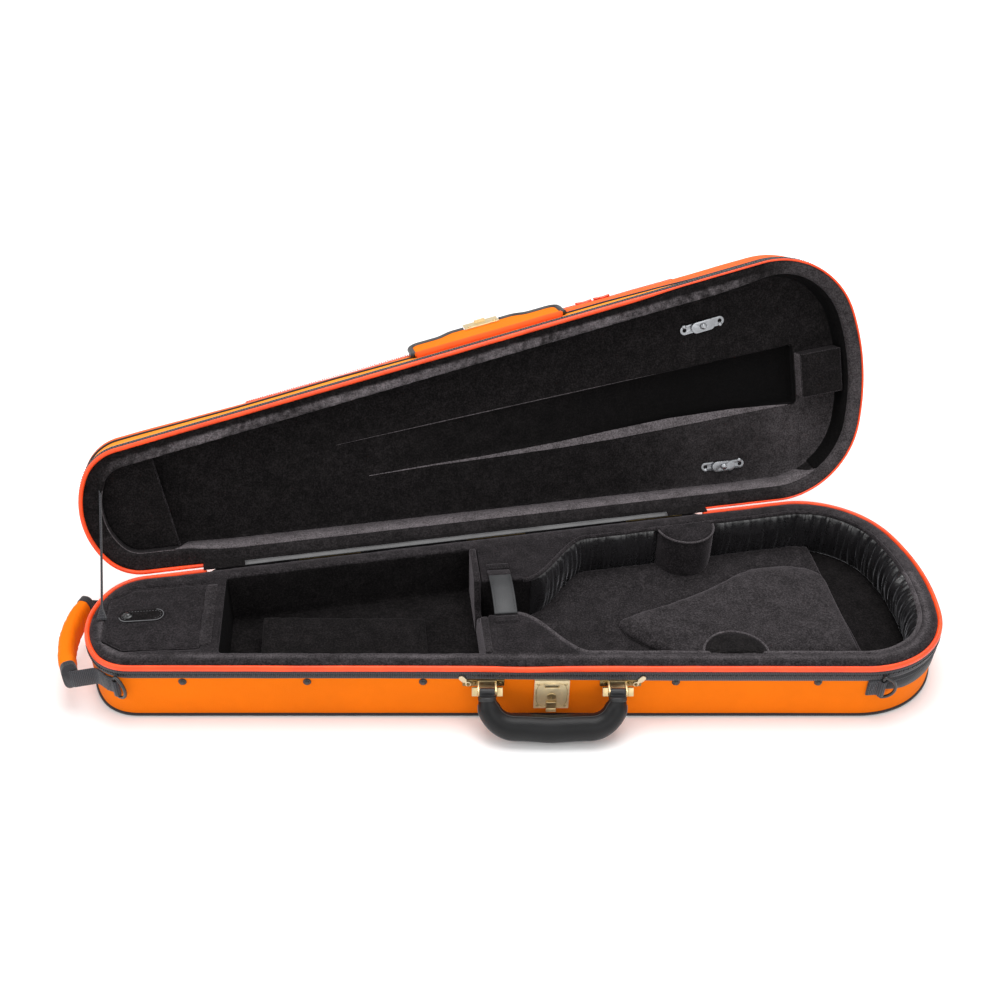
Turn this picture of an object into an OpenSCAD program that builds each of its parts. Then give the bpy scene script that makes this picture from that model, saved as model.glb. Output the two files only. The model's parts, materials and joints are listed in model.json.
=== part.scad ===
// Dart-shaped violin case, shown with its lid open.
// The origin is on the resting surface under the middle of the base. +X runs to the wide end,
// -Y is the handle side, +Y the hinge side and +Z is up.
// "inset" is a distance inwards from the case outline, "out" a distance outwards from it.

/* [Case outline] */
// Length of the outline
case_length = 790; // [780:1:800]
// Radius of the wide end's middle arc
wide_radius = 237.6; // [230:0.2:245]
// Radius of the wide end's corners
wide_corner = 90; // [86:1:94]
// Half angle of the wide end's middle arc
wide_angle = 14.5; // [13:0.5:16]
// Radius of the narrow end's middle arc
narrow_radius = 81.2; // [79:0.2:83]
// Radius of the narrow end's corners
narrow_corner = 45; // [44:0.5:47]
// Half angle of the narrow end's middle arc
narrow_angle = 32; // [30:0.5:34]

/* [Heights] */
// Height of the base shell's wall
base_wall_h = 54.8; // [54:0.1:55]
// Height of the velvet ledge round the base
ledge_z = 60; // [59:0.5:60.5]
// Height of the lid's rim above the resting surface when closed
lid_rim_z = 61; // [60.8:0.1:61.5]
// Height of the lid shell's top when closed
lid_top_z = 104; // [102:0.5:106]
// Height of the music pocket's top when closed
pocket_top_z = 117; // [114:0.5:120]
// Angle from closed to the open rest pose
open_angle = 108; // [100:1:110]

/* [Shell and piping] */
// Thickness of the moulded shells
shell_wall = 4; // [3:0.5:5]
// Inset of the shell's outer face
shell_inset = 2.5; // [2:0.1:3]
// Radius of the piping
piping_r = 2.7; // [2.2:0.1:2.8]
// Inset of the piping's centre line
piping_inset = 1; // [0.8:0.1:1.4]
// Inset of the violin space and the neck compartment
cavity_inset = 20; // [18:0.5:22]

/* [Front hardware] */
// Place of the handle's middle along the front, from the wide corner
handle_s = -277; // [-285:1:-270]
// Distance between the two handle brackets
bracket_span = 114; // [110:1:118]
// Width of the lock plate
lock_w = 31; // [28:1:34]
// Height of the lock plate
lock_h = 32.8; // [30:0.2:33]

/* [Hidden] */

$fn = 48;
eps = 0.01;

// Outline: a wide arc, two wide corners, two straight sides, two narrow corners, a narrow arc
wide_cx = case_length/2 - wide_radius;
narrow_cx = -case_length/2 + narrow_radius;
wide_c = [
    wide_cx + (wide_radius - wide_corner)*cos(wide_angle),
    (wide_radius - wide_corner)*sin(wide_angle)
];
narrow_c = [
    narrow_cx - (narrow_radius - narrow_corner)*cos(narrow_angle),
    (narrow_radius - narrow_corner)*sin(narrow_angle)
];
between = wide_c - narrow_c;
// Slope of the straight sides
side_a = atan2(between.y, between.x) + asin((wide_corner - narrow_corner)/norm(between));
// Points where the back's straight side meets the wide and the narrow corner
wide_t = wide_c + wide_corner*[-sin(side_a), cos(side_a)];
narrow_t = narrow_c + narrow_corner*[-sin(side_a), cos(side_a)];

// Heights of the pipings, of which the base's holds the hinge axis
piping_z = base_wall_h + piping_r;
lid_piping_z = lid_rim_z - 0.2 + piping_r;
hinge_in = piping_inset;
// The hinge fills this stretch of the back, measured from the wide corner
hinge_s0 = -533;
hinge_s1 = -76;
tape_z0 = 46;
tape_h = 7.6;
tape_t = 1.3;

// Floors and ledges
floor_z = 6;
pad_z = 54.8;
foam_inset = shell_inset + shell_wall;
lid_ledge_z = 70;
lid_panel_z = 88;
lid_floor_z = 99;

// Accessory compartment at the narrow end
acc_x0 = -376;
acc_x1 = -290;
acc_half = 44;
acc_cut = 20;
neck_x0 = -273;
neck_x1 = -33;
slot_half = 24;
curve_end_front = 54;
curve_end_back = 80;

// Handle: its pivots, and the middle of its grip where it rests on the table
pivot_out = 8;
pivot_z = 39.7;
grip_out = 26.4;
grip_z = 12.4;
grip_r = 11.8;
handle_reach = norm([grip_out - pivot_out, pivot_z - grip_z]);
handle_tilt = atan2(grip_out - pivot_out, pivot_z - grip_z);
arm_s = bracket_span/2;
bend_r = 20;

// Lid flap: the line it turns on and its angle in the open rest pose
flap_z = 82;
flap_out = 2;
flap_fold = 175;
flap_half = 76;
flap_short = 30;
flap_long = 37;

// Places of the snap studs, D-rings and zipper sliders
stud_s = [-599, -491, -390, -168, -42];
ring_left_a = 27;
ring_right_a = -1.5;
ring_z = 37;
ring_r = 11.5;
wire_r = 1.4;
ring_rest_a = 15;
slider_left_s = -548;
slider_right_s = -61;
toggle_upper_c = [233, -68.5];
toggle_lower_c = [242, 82.5];

// ---- Outline functions and shared shapes ----

function arc(c, r, a0, a1, n, first = 0) =
    [for (i = [first:n]) c + r*[cos(a0 + (a1 - a0)*i/n), sin(a0 + (a1 - a0)*i/n)]];

function back_half(d) = concat(
    arc([wide_cx, 0], wide_radius - d, 0, wide_angle, 4),
    arc(wide_c, wide_corner - d, wide_angle, 90 + side_a, 16, 1),
    arc(narrow_c, narrow_corner - d, 90 + side_a, 180 - narrow_angle, 10),
    arc([narrow_cx, 0], narrow_radius - d, 180 - narrow_angle, 180, 4, 1)
);

function front_half(points) =
    [for (i = [len(points) - 2:-1:1]) [points[i].x, -points[i].y]];

module outline(d) {
    back = back_half(d);
    polygon(concat(back, front_half(back)));
}

// Upright ring that follows the outline between two insets
module ring_band(d0, d1, z0, z1) {
    translate([0, 0, z0])
        linear_extrude(z1 - z0)
            difference() {
                outline(d0);
                outline(d1);
            }
}

// Places children on the front side: x along it, y inwards, z up
module front_side(s, z = 0, out = 0) {
    translate([wide_t.x, -wide_t.y, 0])
        rotate([0, 0, -side_a])
            translate([s, -out, z])
                children();
}

// Places children on the back side: x along it, y outwards, z up
module back_side(s, z = 0, out = 0) {
    translate([wide_t.x, wide_t.y, 0])
        rotate([0, 0, side_a])
            translate([s, out, z])
                children();
}

// Places children on a front corner: a is the angle from -Y towards the narrow end
module corner_side(c, r, a, z = 0, out = 0) {
    translate([c.x, -c.y, 0])
        rotate([0, 0, -a])
            translate([0, -r - out, z])
                children();
}

// Turns closed-position parts to the lid's open rest pose
module lid_open() {
    back_side(0, piping_z, -hinge_in)
        rotate([-open_angle, 0, 0])
            translate([0, hinge_in, -piping_z])
                rotate([0, 0, -side_a])
                    translate([-wide_t.x, -wide_t.y, 0])
                        children();
}

// Turns a part drawn hanging down to the flap's place on the open lid
module flap_open() {
    lid_open()
        front_side(handle_s, flap_z, flap_out)
            rotate([-flap_fold, 0, 0])
                children();
}

// Block between the hinge's two ends, for cutting the pipings and tapes
module hinge_gap(z0, z1) {
    back_side(hinge_s0, z0, -8)
        cube([hinge_s1 - hinge_s0, 16, z1 - z0]);
}

// Piping of eight-sided section, stacked from three bands
module piping_ring(z) {
    k = piping_r*tan(22.5);
    ring_band(piping_inset - k, piping_inset + k, z - piping_r, z - k);
    ring_band(piping_inset - piping_r, piping_inset + piping_r, z - k, z + k);
    ring_band(piping_inset - k, piping_inset + k, z + k, z + piping_r);
}

module accessory_shape(d) {
    polygon([
        [acc_x1 - d, -acc_half + d],
        [acc_x1 - d, acc_half - d],
        [acc_x0 + acc_cut + d/2, acc_half - 3 - d],
        [acc_x0 + d, acc_half - acc_cut + 2 - d/2],
        [acc_x0 + d, -acc_half + acc_cut - 2 + d/2],
        [acc_x0 + acc_cut + d/2, -acc_half + 3 + d]
    ]);
}

// Half width of the inset space at a place along the straight sides
function side_half(x, d) = wide_t.y - (wide_t.x - x)*tan(side_a) - d/cos(side_a);

// One shoulder of the violin space: an S from the neck slot to the side wall
function shoulder(x0, x1, n = 14) = [for (i = [0:n])
    let(x = x0 + (x1 - x0)*i/n, w = (1 - cos(180*i/n))/2)
    [x, slot_half + (side_half(x1, cavity_inset) - slot_half)*w]];

module violin_shape() {
    front = shoulder(-8, curve_end_front);
    back = shoulder(6, curve_end_back);
    polygon(concat(
        [[neck_x1, -slot_half]],
        [for (p = front) [p.x, -p.y]],
        [for (i = [len(back) - 1:-1:0]) back[i]],
        [[neck_x1, slot_half]]
    ));
    intersection() {
        outline(cavity_inset);
        polygon([
            [curve_end_front, -200],
            [500, -200],
            [500, 200],
            [curve_end_back, 200],
            back[len(back) - 1],
            [curve_end_front, -front[len(front) - 1].y]
        ]);
    }
}

module neck_shape() {
    intersection() {
        outline(cavity_inset);
        translate([neck_x0, -200])
            square([neck_x1 - neck_x0, 400]);
    }
}

// A raised block between two heights that fills a 2D shape
module slab(z0, z1) {
    translate([0, 0, z0])
        linear_extrude(z1 - z0)
            children();
}

// Straight upright strip between two places in plan
module strip(p0, p1, t, z0, z1) {
    d = p1 - p0;
    translate([p0.x, p0.y, z0])
        rotate([0, 0, atan2(d.y, d.x)])
            translate([0, -t/2, 0])
                cube([norm(d), t, z1 - z0]);
}

// Bar with round ends, centred on the origin
module slot_shape(length, width) {
    square([length - width, width], center = true);
    for (x = [-1, 1])
        translate([x*(length - width)/2, 0])
            circle(d = width);
}

// ---- Base: shell, edges and lining ----

module base_shell() {
    color([0.96, 0.5, 0.05])
        difference() {
            slab(0, base_wall_h)
                outline(shell_inset);
            slab(shell_wall, base_wall_h + 1)
                outline(foam_inset);
        }
}

module base_bottom_welt() {
    color([0.12, 0.12, 0.13])
        ring_band(shell_inset - 1.2, shell_inset, 0, 2.4);
}

module base_piping() {
    color([1, 0.34, 0.12])
        difference() {
            piping_ring(piping_z);
            hinge_gap(piping_z - 5, piping_z + 5);
        }
}

module base_zipper_tape() {
    color([0.25, 0.25, 0.27])
        difference() {
            ring_band(shell_inset - tape_t, shell_inset, tape_z0, tape_z0 + tape_h);
            hinge_gap(tape_z0 - 5, tape_z0 + 12);
        }
}

// Black patch under the tape round the wide end
module wide_end_gusset() {
    color([0.2, 0.2, 0.22])
        intersection() {
            ring_band(shell_inset - 1.2, shell_inset, 27, tape_z0);
            translate([wide_c.x + 10, -200, 0])
                cube([200, 400, 100]);
        }
}

// Foam that fills the shell round the compartments
module base_foam() {
    color([0.1, 0.09, 0.1])
        difference() {
            slab(shell_wall, pad_z)
                outline(foam_inset);
            slab(floor_z, pad_z + 1) {
                accessory_shape(3);
                neck_shape();
                violin_shape();
            }
        }
}

// Velvet ledge on top of the foam
module base_ledge_pad() {
    color([0.15, 0.14, 0.15])
        difference() {
            slab(pad_z, ledge_z)
                outline(4);
            slab(pad_z - 1, ledge_z + 1) {
                accessory_shape(-0.6);
                neck_shape();
                violin_shape();
            }
        }
}

// Padded board across the case with a slot for the violin's neck
module neck_divider() {
    board = 8;
    wall = side_half(neck_x1 - board, cavity_inset) - 0.1;
    color([0.2, 0.19, 0.2])
        translate([neck_x1 - board, 0, 0])
            rotate([90, 0, 90])
                linear_extrude(board)
                    polygon([
                        [-wall, floor_z],
                        [wall, floor_z],
                        [wall, ledge_z],
                        [slot_half, ledge_z],
                        [slot_half - 4, floor_z + 8],
                        [4 - slot_half, floor_z + 24],
                        [-slot_half, ledge_z],
                        [-wall, ledge_z]
                    ]);
}

// Wedge on the compartment floor that carries the scroll
module neck_support_block() {
    color([0.13, 0.12, 0.13])
        intersection() {
            translate([0, 24, 0])
                rotate([90, 0, 0])
                    linear_extrude(120)
                        polygon([
                            [-240, floor_z],
                            [-88, floor_z],
                            [-88, 18],
                            [-240, 32]
                        ]);
            slab(0, 60)
                outline(cavity_inset + 0.3);
        }
}

module floor_cushion() {
    color([0.12, 0.11, 0.12])
        slab(floor_z, 11)
            intersection() {
                violin_shape();
                translate([50, -200])
                    square([320, 400]);
            }
}

// Waist-shaped pad under the violin's body
module raised_body_cushion() {
    neck_w = 25;
    body_w = 66;
    tip = [116, 0];
    swell = [for (i = [0:10])
        [200 + 5.5*i, neck_w + (body_w - neck_w)*(1 - cos(18*i))/2]];
    color([0.14, 0.13, 0.14])
        slab(11, 22)
            polygon(concat(
                arc(tip, neck_w, 270, 90, 12),
                swell,
                [[319, body_w]],
                [[319, -body_w]],
                [for (i = [10:-1:0]) [swell[i].x, -swell[i].y]]
            ));
}

// Satin padding on the wall behind and round the violin's body
module satin_side_padding() {
    color([0.08, 0.08, 0.09])
        difference() {
            ring_band(cavity_inset, cavity_inset + 5, 12, 57);
            translate([-500, -200, 0])
                cube([500 + wide_c.x - 12, 200, 100]);
            translate([-500, -1, 0])
                cube([596, 400, 100]);
            translate([150, 0, 0])
                cube([62, 400, 100]);
        }
}

module waist_post(y, side) {
    slab(11.2, ledge_z)
        intersection() {
            translate([181, side*y])
                circle(r = 29);
            outline(cavity_inset);
        }
}

module rear_waist_post() {
    color([0.13, 0.12, 0.13])
        waist_post(95, 1);
}

module front_waist_post() {
    color([0.13, 0.12, 0.13])
        waist_post(96, -1);
}

// ---- Accessory compartment lid and neck strap ----

module accessory_hinge_tape() {
    color([0.16, 0.15, 0.16])
        translate([acc_x1 + 0.8, -acc_half + 4, ledge_z])
            cube([9, 2*acc_half - 8, 0.5]);
}

module accessory_lid() {
    color([0.13, 0.12, 0.13])
        slab(pad_z + 0.1, ledge_z - 0.4)
            accessory_shape(0);
}

module accessory_pull() {
    color([0.1, 0.1, 0.1])
        slab(ledge_z - 0.4, ledge_z + 1)
            translate([-345, 3])
                slot_shape(40, 15);
}

module accessory_stud() {
    color([0.08, 0.08, 0.08])
        translate([-357, 3, ledge_z + 1]) {
            cylinder(h = 1, r = 4.6);
            cylinder(h = 2, r = 3);
        }
}

// Leather band arched over the neck slot
module neck_strap() {
    half_span = 31;
    rise = 5;
    r = (half_span*half_span + rise*rise)/(2*rise);
    color([0.3, 0.3, 0.3])
        intersection() {
            translate([-27, 5, ledge_z + 0.4 + rise - r])
                rotate([0, 90, 0])
                    difference() {
                        cylinder(h = 21, r = r + 1.6, $fn = 180);
                        translate([0, 0, -1])
                            cylinder(h = 23, r = r, $fn = 180);
                    }
            translate([-28, 5 - half_span, ledge_z + 0.3])
                cube([23, 2*half_span, 20]);
        }
}

// Stitched patches under the strap's two ends
module neck_strap_anchor() {
    color([0.12, 0.12, 0.12])
        for (y = [38.5, -37])
            translate([-27, y, ledge_z])
                cube([21, 8, 1]);
}

// ---- Front hardware ----

module snap_studs() {
    color([0.1, 0.1, 0.11])
        for (s = stud_s)
            front_side(s, 41.4, -shell_inset)
                rotate([90, 0, 0]) {
                    cylinder(h = 1.4, r = 3.4);
                    cylinder(h = 2.6, r = 2.2);
                }
}

// Places children at both brackets, mirrored so that +x points away from the handle
module at_brackets() {
    for (m = [-1, 1])
        front_side(handle_s + m*arm_s)
            scale_x(m)
                children();
}

module scale_x(m) {
    if (m > 0)
        children();
    else
        mirror([1, 0, 0])
            children();
}

catch_x = 16.5;
catch_z = 41;

module handle_base_plates() {
    color([0.5, 0.42, 0.2])
        at_brackets() {
            translate([-15, shell_inset - 1.4, 37.5])
                cube([36.5, 1.4, 7.4]);
            translate([catch_x, shell_inset - 1.4 + eps, catch_z])
                rotate([90, 0, 0])
                    cylinder(h = 3, r = 1.2);
        }
}

// U brackets with the bores for the handle's pins
module handle_brackets() {
    face = shell_inset - 1.4;
    depth = face + pivot_out + 3;
    color([0.75, 0.6, 0.3])
        at_brackets()
            difference() {
                union() {
                    for (x = [-8.4, 6.9])
                        translate([x, face - depth, 36.6])
                            cube([1.5, depth, 6.6]);
                    translate([-8.4, face - 1.4, 36.6])
                        cube([16.8, 1.4, 8.2]);
                }
                translate([-20, -pivot_out, pivot_z])
                    rotate([0, 90, 0])
                        cylinder(h = 40, r = 1.55);
            }
}

// Places children on the handle: x along the case, z along the arms from the pivots, y across
module handle_frame() {
    front_side(handle_s, pivot_z, pivot_out)
        rotate([180 - handle_tilt, 0, 0])
            children();
}

module carry_handle() {
    arm_r = 8.4;
    start = 6.4;
    color([0.2, 0.2, 0.21])
        handle_frame() {
            for (m = [-1, 1]) {
                translate([m*arm_s, 0, start])
                    cylinder(h = handle_reach - bend_r - start + 0.1, r = arm_r);
                translate([m*(arm_s - bend_r), 0, handle_reach - bend_r])
                    rotate([90, 0, 0])
                        rotate([0, 0, m > 0 ? 0 : 90])
                            rotate_extrude(angle = 90)
                                translate([bend_r, 0])
                                    circle(r = arm_r);
            }
            translate([-arm_s + bend_r - 0.1, 0, handle_reach])
                rotate([0, 90, 0])
                    cylinder(h = 2*(arm_s - bend_r) + 0.2, r = grip_r);
        }
}

// Eyes that join the handle's arms to the pivot pins
module handle_end_tabs() {
    color([0.15, 0.15, 0.16])
        handle_frame()
            for (m = [-1, 1])
                translate([m*arm_s, 0, 0])
                    difference() {
                        union() {
                            translate([-6.6, 0, 0])
                                rotate([0, 90, 0])
                                    cylinder(h = 13.2, r = 3);
                            translate([-6.6, -2.2, 0])
                                cube([13.2, 4.4, 6.4]);
                        }
                        translate([-10, 0, 0])
                            rotate([0, 90, 0])
                                cylinder(h = 20, r = 1.5);
                    }
}

// Pivot pins with a square lug on each end
module handle_pivot_lugs() {
    color([0.85, 0.75, 0.5])
        handle_frame()
            for (m = [-1, 1])
                translate([m*arm_s, 0, 0]) {
                    translate([-13.4, 0, 0])
                        rotate([0, 90, 0])
                            cylinder(h = 26.8, r = 1.5);
                    for (x = [-13.4, 8.8])
                        translate([x, -2.4, -3.6])
                            cube([4.6, 4.8, 7.2]);
                }
}

// Thumb catch beside a bracket: an oval tab on a pivot
module handle_catch() {
    translate([catch_x, shell_inset - 1.7, catch_z])
        rotate([90, 0, 0])
            linear_extrude(1.4)
                difference() {
                    union() {
                        circle(r = 2.6);
                        rotate(50) {
                            translate([4, 0])
                                square([5, 2.4], center = true);
                            translate([7.5, 0])
                                slot_shape(8.4, 5);
                        }
                    }
                    circle(r = 1.25);
                }
}

module handle_catch_left() {
    color([0.8, 0.75, 0.6])
        front_side(handle_s - arm_s)
            mirror([1, 0, 0])
                handle_catch();
}

module handle_catch_right() {
    color([0.8, 0.75, 0.6])
        front_side(handle_s + arm_s)
            handle_catch();
}

lock_z0 = 12;
lock_front = 3.4;
lever_w = 9;
key_z = 26.5;
key_r = 3.3;
staple_z = 38.2;

// Lock case with the hasp's slot, the key plug's bore and the lever's channel
module lock_plate() {
    color([0.72, 0.63, 0.4])
        front_side(handle_s, 0, -shell_inset)
            difference() {
                union() {
                    translate([-lock_w/2, -lock_front, lock_z0])
                        cube([lock_w, lock_front, lock_h]);
                    translate([-lock_w/2, -0.8, lock_z0 + lock_h])
                        cube([lock_w, 0.8, 1.2]);
                }
                translate([-6.5, -lock_front - 1, staple_z - 1.6])
                    cube([13, 3.6, 3.2]);
                translate([0, 1, key_z])
                    rotate([90, 0, 0])
                        cylinder(h = 10, r = key_r + 0.05);
                translate([-lever_w/2 - 0.15, -lock_front - 1, lock_z0 - 1])
                    cube([lever_w + 0.3, 2.4, 11.5]);
            }
}

module lock_lever() {
    color([0.8, 0.7, 0.45])
        front_side(handle_s, 0, -shell_inset) {
            translate([-lever_w/2, -lock_front - 0.8, lock_z0 - 2.8])
                cube([lever_w, 2, 10.6]);
            translate([-lever_w/2, -lock_front - 1.8, lock_z0 - 2.8])
                cube([lever_w, 1 + eps, 3.4]);
        }
}

module lock_cylinder() {
    color([0.82, 0.72, 0.48])
        front_side(handle_s, key_z, -shell_inset)
            difference() {
                rotate([90, 0, 0])
                    cylinder(h = lock_front + 0.5, r = key_r);
                translate([-0.5, -lock_front - 1, -2])
                    cube([1, 1.6, 4]);
            }
}

// ---- D-rings and end grip ----

// Webbing tab with a sewn loop round the ring's straight bar
module d_ring_tab() {
    translate([-8.5, shell_inset - 1.6, -11])
        cube([11.1, 1.6, 18.9]);
    translate([4, -0.9, -7.9])
        difference() {
            cylinder(h = 15.8, r = 3.1);
            translate([0, 0, -1])
                cylinder(h = 18, r = wire_r + 0.1);
        }
}

module d_ring() {
    translate([4, -0.9, 0])
        rotate([0, 0, -ring_rest_a]) {
            translate([0, 0, -ring_r])
                cylinder(h = 2*ring_r, r = wire_r);
            rotate([90, 0, 0])
                rotate([0, 0, -90])
                    rotate_extrude(angle = 180)
                        translate([ring_r, 0])
                            circle(r = wire_r);
            for (m = [-1, 1])
                translate([0, 0, m*ring_r])
                    sphere(r = wire_r);
        }
}

module d_ring_tabs() {
    color([0.18, 0.18, 0.2]) {
        corner_side(narrow_c, narrow_corner, ring_left_a, ring_z)
            d_ring_tab();
        corner_side(wide_c, wide_corner, ring_right_a, ring_z)
            d_ring_tab();
    }
}

module d_ring_left() {
    color([0.08, 0.08, 0.09])
        corner_side(narrow_c, narrow_corner, ring_left_a, ring_z)
            d_ring();
}

module d_ring_right() {
    color([0.08, 0.08, 0.09])
        corner_side(wide_c, wide_corner, ring_right_a, ring_z)
            d_ring();
}

grip_x = -412;
grip_bow = 120;
grip_a = 23;

// Padded grip round the narrow end's carrying strap
module end_grip() {
    color([0.96, 0.45, 0.05])
        translate([grip_x + grip_bow, 0, 0])
            slab(25, 51)
                intersection() {
                    difference() {
                        circle(r = grip_bow + 7, $fn = 180);
                        circle(r = grip_bow - 7, $fn = 180);
                    }
                    polygon([
                        [0, 0],
                        200*[-cos(grip_a), sin(grip_a)],
                        200*[-cos(grip_a), -sin(grip_a)]
                    ]);
                }
}

// Webbing that holds the grip to both narrow corners
module end_grip_straps() {
    end = [grip_x + grip_bow, 0] + grip_bow*[-cos(grip_a), sin(grip_a)];
    on_corner = function (a, out) narrow_c + (narrow_corner + out)*[-sin(a), cos(a)];
    color([0.18, 0.18, 0.2])
        for (m = [1, -1]) {
            at = function (p) [p.x, m*p.y];
            strip(at(on_corner(39, -1.3)), at(on_corner(52, -1.1)), 1.6, 26, 45);
            strip(at(on_corner(51.5, -0.4)), at(end + [1.2, 0.8]), 1.6, 26, 45);
        }
}

// ---- Zipper sliders and hinges ----

module zipper_slider(s) {
    back_side(s, tape_z0 + 2.6, 0.2 - shell_inset + tape_t) {
        translate([-4.5, 0, -3])
            cube([9, 2.4, 6]);
        translate([-2.2, 0.6, -21])
            cube([4.4, 1.2, 18 + eps]);
    }
}

module zipper_slider_left() {
    color([0.1, 0.1, 0.11])
        zipper_slider(slider_left_s);
}

module zipper_slider_right() {
    color([0.1, 0.1, 0.11])
        zipper_slider(slider_right_s);
}

hinge_at = [-470, -305, -140];
hinge_len = 60;
knuckle = 12;
barrel_r = 2.5;
pin_r = 1.2;

// Places children at each hinge: x along the hinge axis
module at_hinges() {
    for (s = hinge_at)
        back_side(s - hinge_len/2, piping_z, -hinge_in)
            children();
}

// Every second knuckle, starting with number first, each joined to a leaf
module hinge_leaf(first, leaf_from, leaf_to) {
    up = leaf_to > 0 ? 1 : -1;
    difference() {
        union() {
            translate([0.5, hinge_in - shell_inset, min(leaf_from, leaf_to)])
                cube([hinge_len - 1, 1, abs(leaf_to - leaf_from)]);
            for (k = [first:2:4]) {
                translate([k*knuckle + 0.15, 0, 0])
                    rotate([0, 90, 0])
                        cylinder(h = knuckle - 0.3, r = barrel_r);
                translate([k*knuckle + 0.15, hinge_in - shell_inset, min(0, up*3.4)])
                    cube([knuckle - 0.3, 1, 3.4]);
                translate([k*knuckle + 0.15, hinge_in - shell_inset, min(leaf_from, up*2)])
                    cube([knuckle - 0.3, 1, abs(leaf_from) - 2 + eps]);
            }
        }
        translate([-1, 0, 0])
            rotate([0, 90, 0])
                cylinder(h = hinge_len + 2, r = pin_r + 0.05);
    }
}

module hinge_base_leaves() {
    color([0.6, 0.55, 0.45])
        at_hinges()
            hinge_leaf(0, -3, -18);
}

module hinge_lid_leaves() {
    color([0.6, 0.55, 0.45])
        lid_open()
            at_hinges()
                hinge_leaf(1, 9, 22);
}

module hinge_pins() {
    color([0.7, 0.65, 0.5])
        at_hinges()
            rotate([0, 90, 0])
                cylinder(h = hinge_len, r = pin_r);
}

// Satin strip that closes the joint between the base's and the lid's linings
module hinge_strip() {
    color([0.45, 0.45, 0.47])
        back_side(hinge_s0 + 2, ledge_z + 0.35, -hinge_in - 3)
            cube([hinge_s1 - hinge_s0 - 4, 7, 0.6]);
}

stay_base = [-379, -2, 60.4];
stay_lid = [-382.6, 98.6, 138.3];

// Ribbon that stops the lid, drawn taut
module stay_ribbon() {
    d = stay_lid - stay_base;
    color([0.1, 0.1, 0.11])
        translate(stay_base)
            rotate([0, acos(d.z/norm(d)), atan2(d.y, d.x)])
                translate([-0.4, -2.5, 1.5])
                    cube([0.8, 5, norm(d) - 3]);
}

// ---- Lid ----

lid_wall_z = lid_piping_z + piping_r + 0.1;
lid_hollow_inset = 21;

module lid_shell() {
    color([0.96, 0.5, 0.05])
        lid_open()
            difference() {
                slab(lid_wall_z, lid_top_z)
                    outline(shell_inset);
                slab(lid_wall_z - 1, lid_top_z - shell_wall)
                    outline(foam_inset);
            }
}

module lid_piping() {
    color([1, 0.34, 0.12])
        lid_open()
            difference() {
                piping_ring(lid_piping_z);
                hinge_gap(lid_piping_z - 5, lid_piping_z + 5);
            }
}

module lid_zipper_tape() {
    color([0.25, 0.25, 0.27])
        lid_open()
            difference() {
                ring_band(shell_inset - tape_t, shell_inset, lid_wall_z + 0.4, lid_wall_z + tape_h);
                hinge_gap(lid_wall_z - 1, lid_wall_z + 12);
            }
}

// Black welts: one between the lid's two side bands, one at the top edge
module lid_welts() {
    color([0.12, 0.12, 0.13])
        lid_open()
            for (z = [flap_z - 1, lid_top_z - 2.2])
                ring_band(shell_inset - 1.2, shell_inset, z, z + 2);
}

// Padded sheet-music pocket on the lid
module music_pocket() {
    rise = (pocket_top_z - lid_top_z)/2;
    color([0.92, 0.4, 0.08])
        lid_open() {
            slab(lid_top_z, lid_top_z + rise)
                outline(6);
            slab(lid_top_z + rise, pocket_top_z)
                outline(13);
        }
}

pocket_zip_s0 = -520;
pocket_zip_s1 = -80;
pocket_zip_z = lid_top_z + 1;

module pocket_zipper() {
    color([0.85, 0.25, 0.08])
        lid_open()
            front_side(pocket_zip_s0, pocket_zip_z, -6)
                translate([0, -1.2, 0])
                    cube([pocket_zip_s1 - pocket_zip_s0, 1.2, 5]);
}

module pocket_slider(s) {
    lid_open()
        front_side(s, pocket_zip_z, -6) {
            translate([-4, -3.4, 0.2])
                cube([8, 2, 4.6]);
            translate([-1.8, -6.8, 1.6])
                cube([3.6, 3.4 + eps, 1.6]);
        }
}

module pocket_slider_left() {
    color([0.9, 0.25, 0.08])
        pocket_slider(-167);
}

module pocket_slider_right() {
    color([0.9, 0.25, 0.08])
        pocket_slider(-148);
}

// Flap that folds down over the lock, with a deeper middle for the hasp
module lid_flap() {
    color([0.96, 0.5, 0.05])
        flap_open()
            translate([0, -0.4, 0])
                rotate([90, 0, 0])
                    linear_extrude(2.2)
                        polygon([
                            [-flap_half, -1],
                            [-flap_half, 8 - flap_short],
                            [8 - flap_half, -flap_short],
                            [-44, -flap_short],
                            [-30, -flap_long],
                            [30, -flap_long],
                            [44, -flap_short],
                            [flap_half - 8, -flap_short],
                            [flap_half, 8 - flap_short],
                            [flap_half, -1]
                        ]);
}

// Metal hasp on the flap's inner side, with the staple that enters the lock
module hasp_plate() {
    color([0.85, 0.75, 0.5])
        flap_open() {
            translate([-17.5, -0.4, -47])
                cube([35, 1.2, 17.5]);
            translate([-5.5, 0.8 - eps, staple_z - flap_z - 0.9])
                cube([11, 2.2, 1.8]);
            for (x = [-13, 13])
                translate([x, 0.8 - eps, -33])
                    rotate([-90, 0, 0])
                        cylinder(h = 1, r = 1.6);
        }
}

// Foam side wall inside the lid, with its velvet ledge
module lid_foam_ring() {
    color([0.15, 0.14, 0.15])
        lid_open()
            ring_band(foam_inset, lid_hollow_inset, lid_ledge_z, lid_top_z - shell_wall);
}

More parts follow.
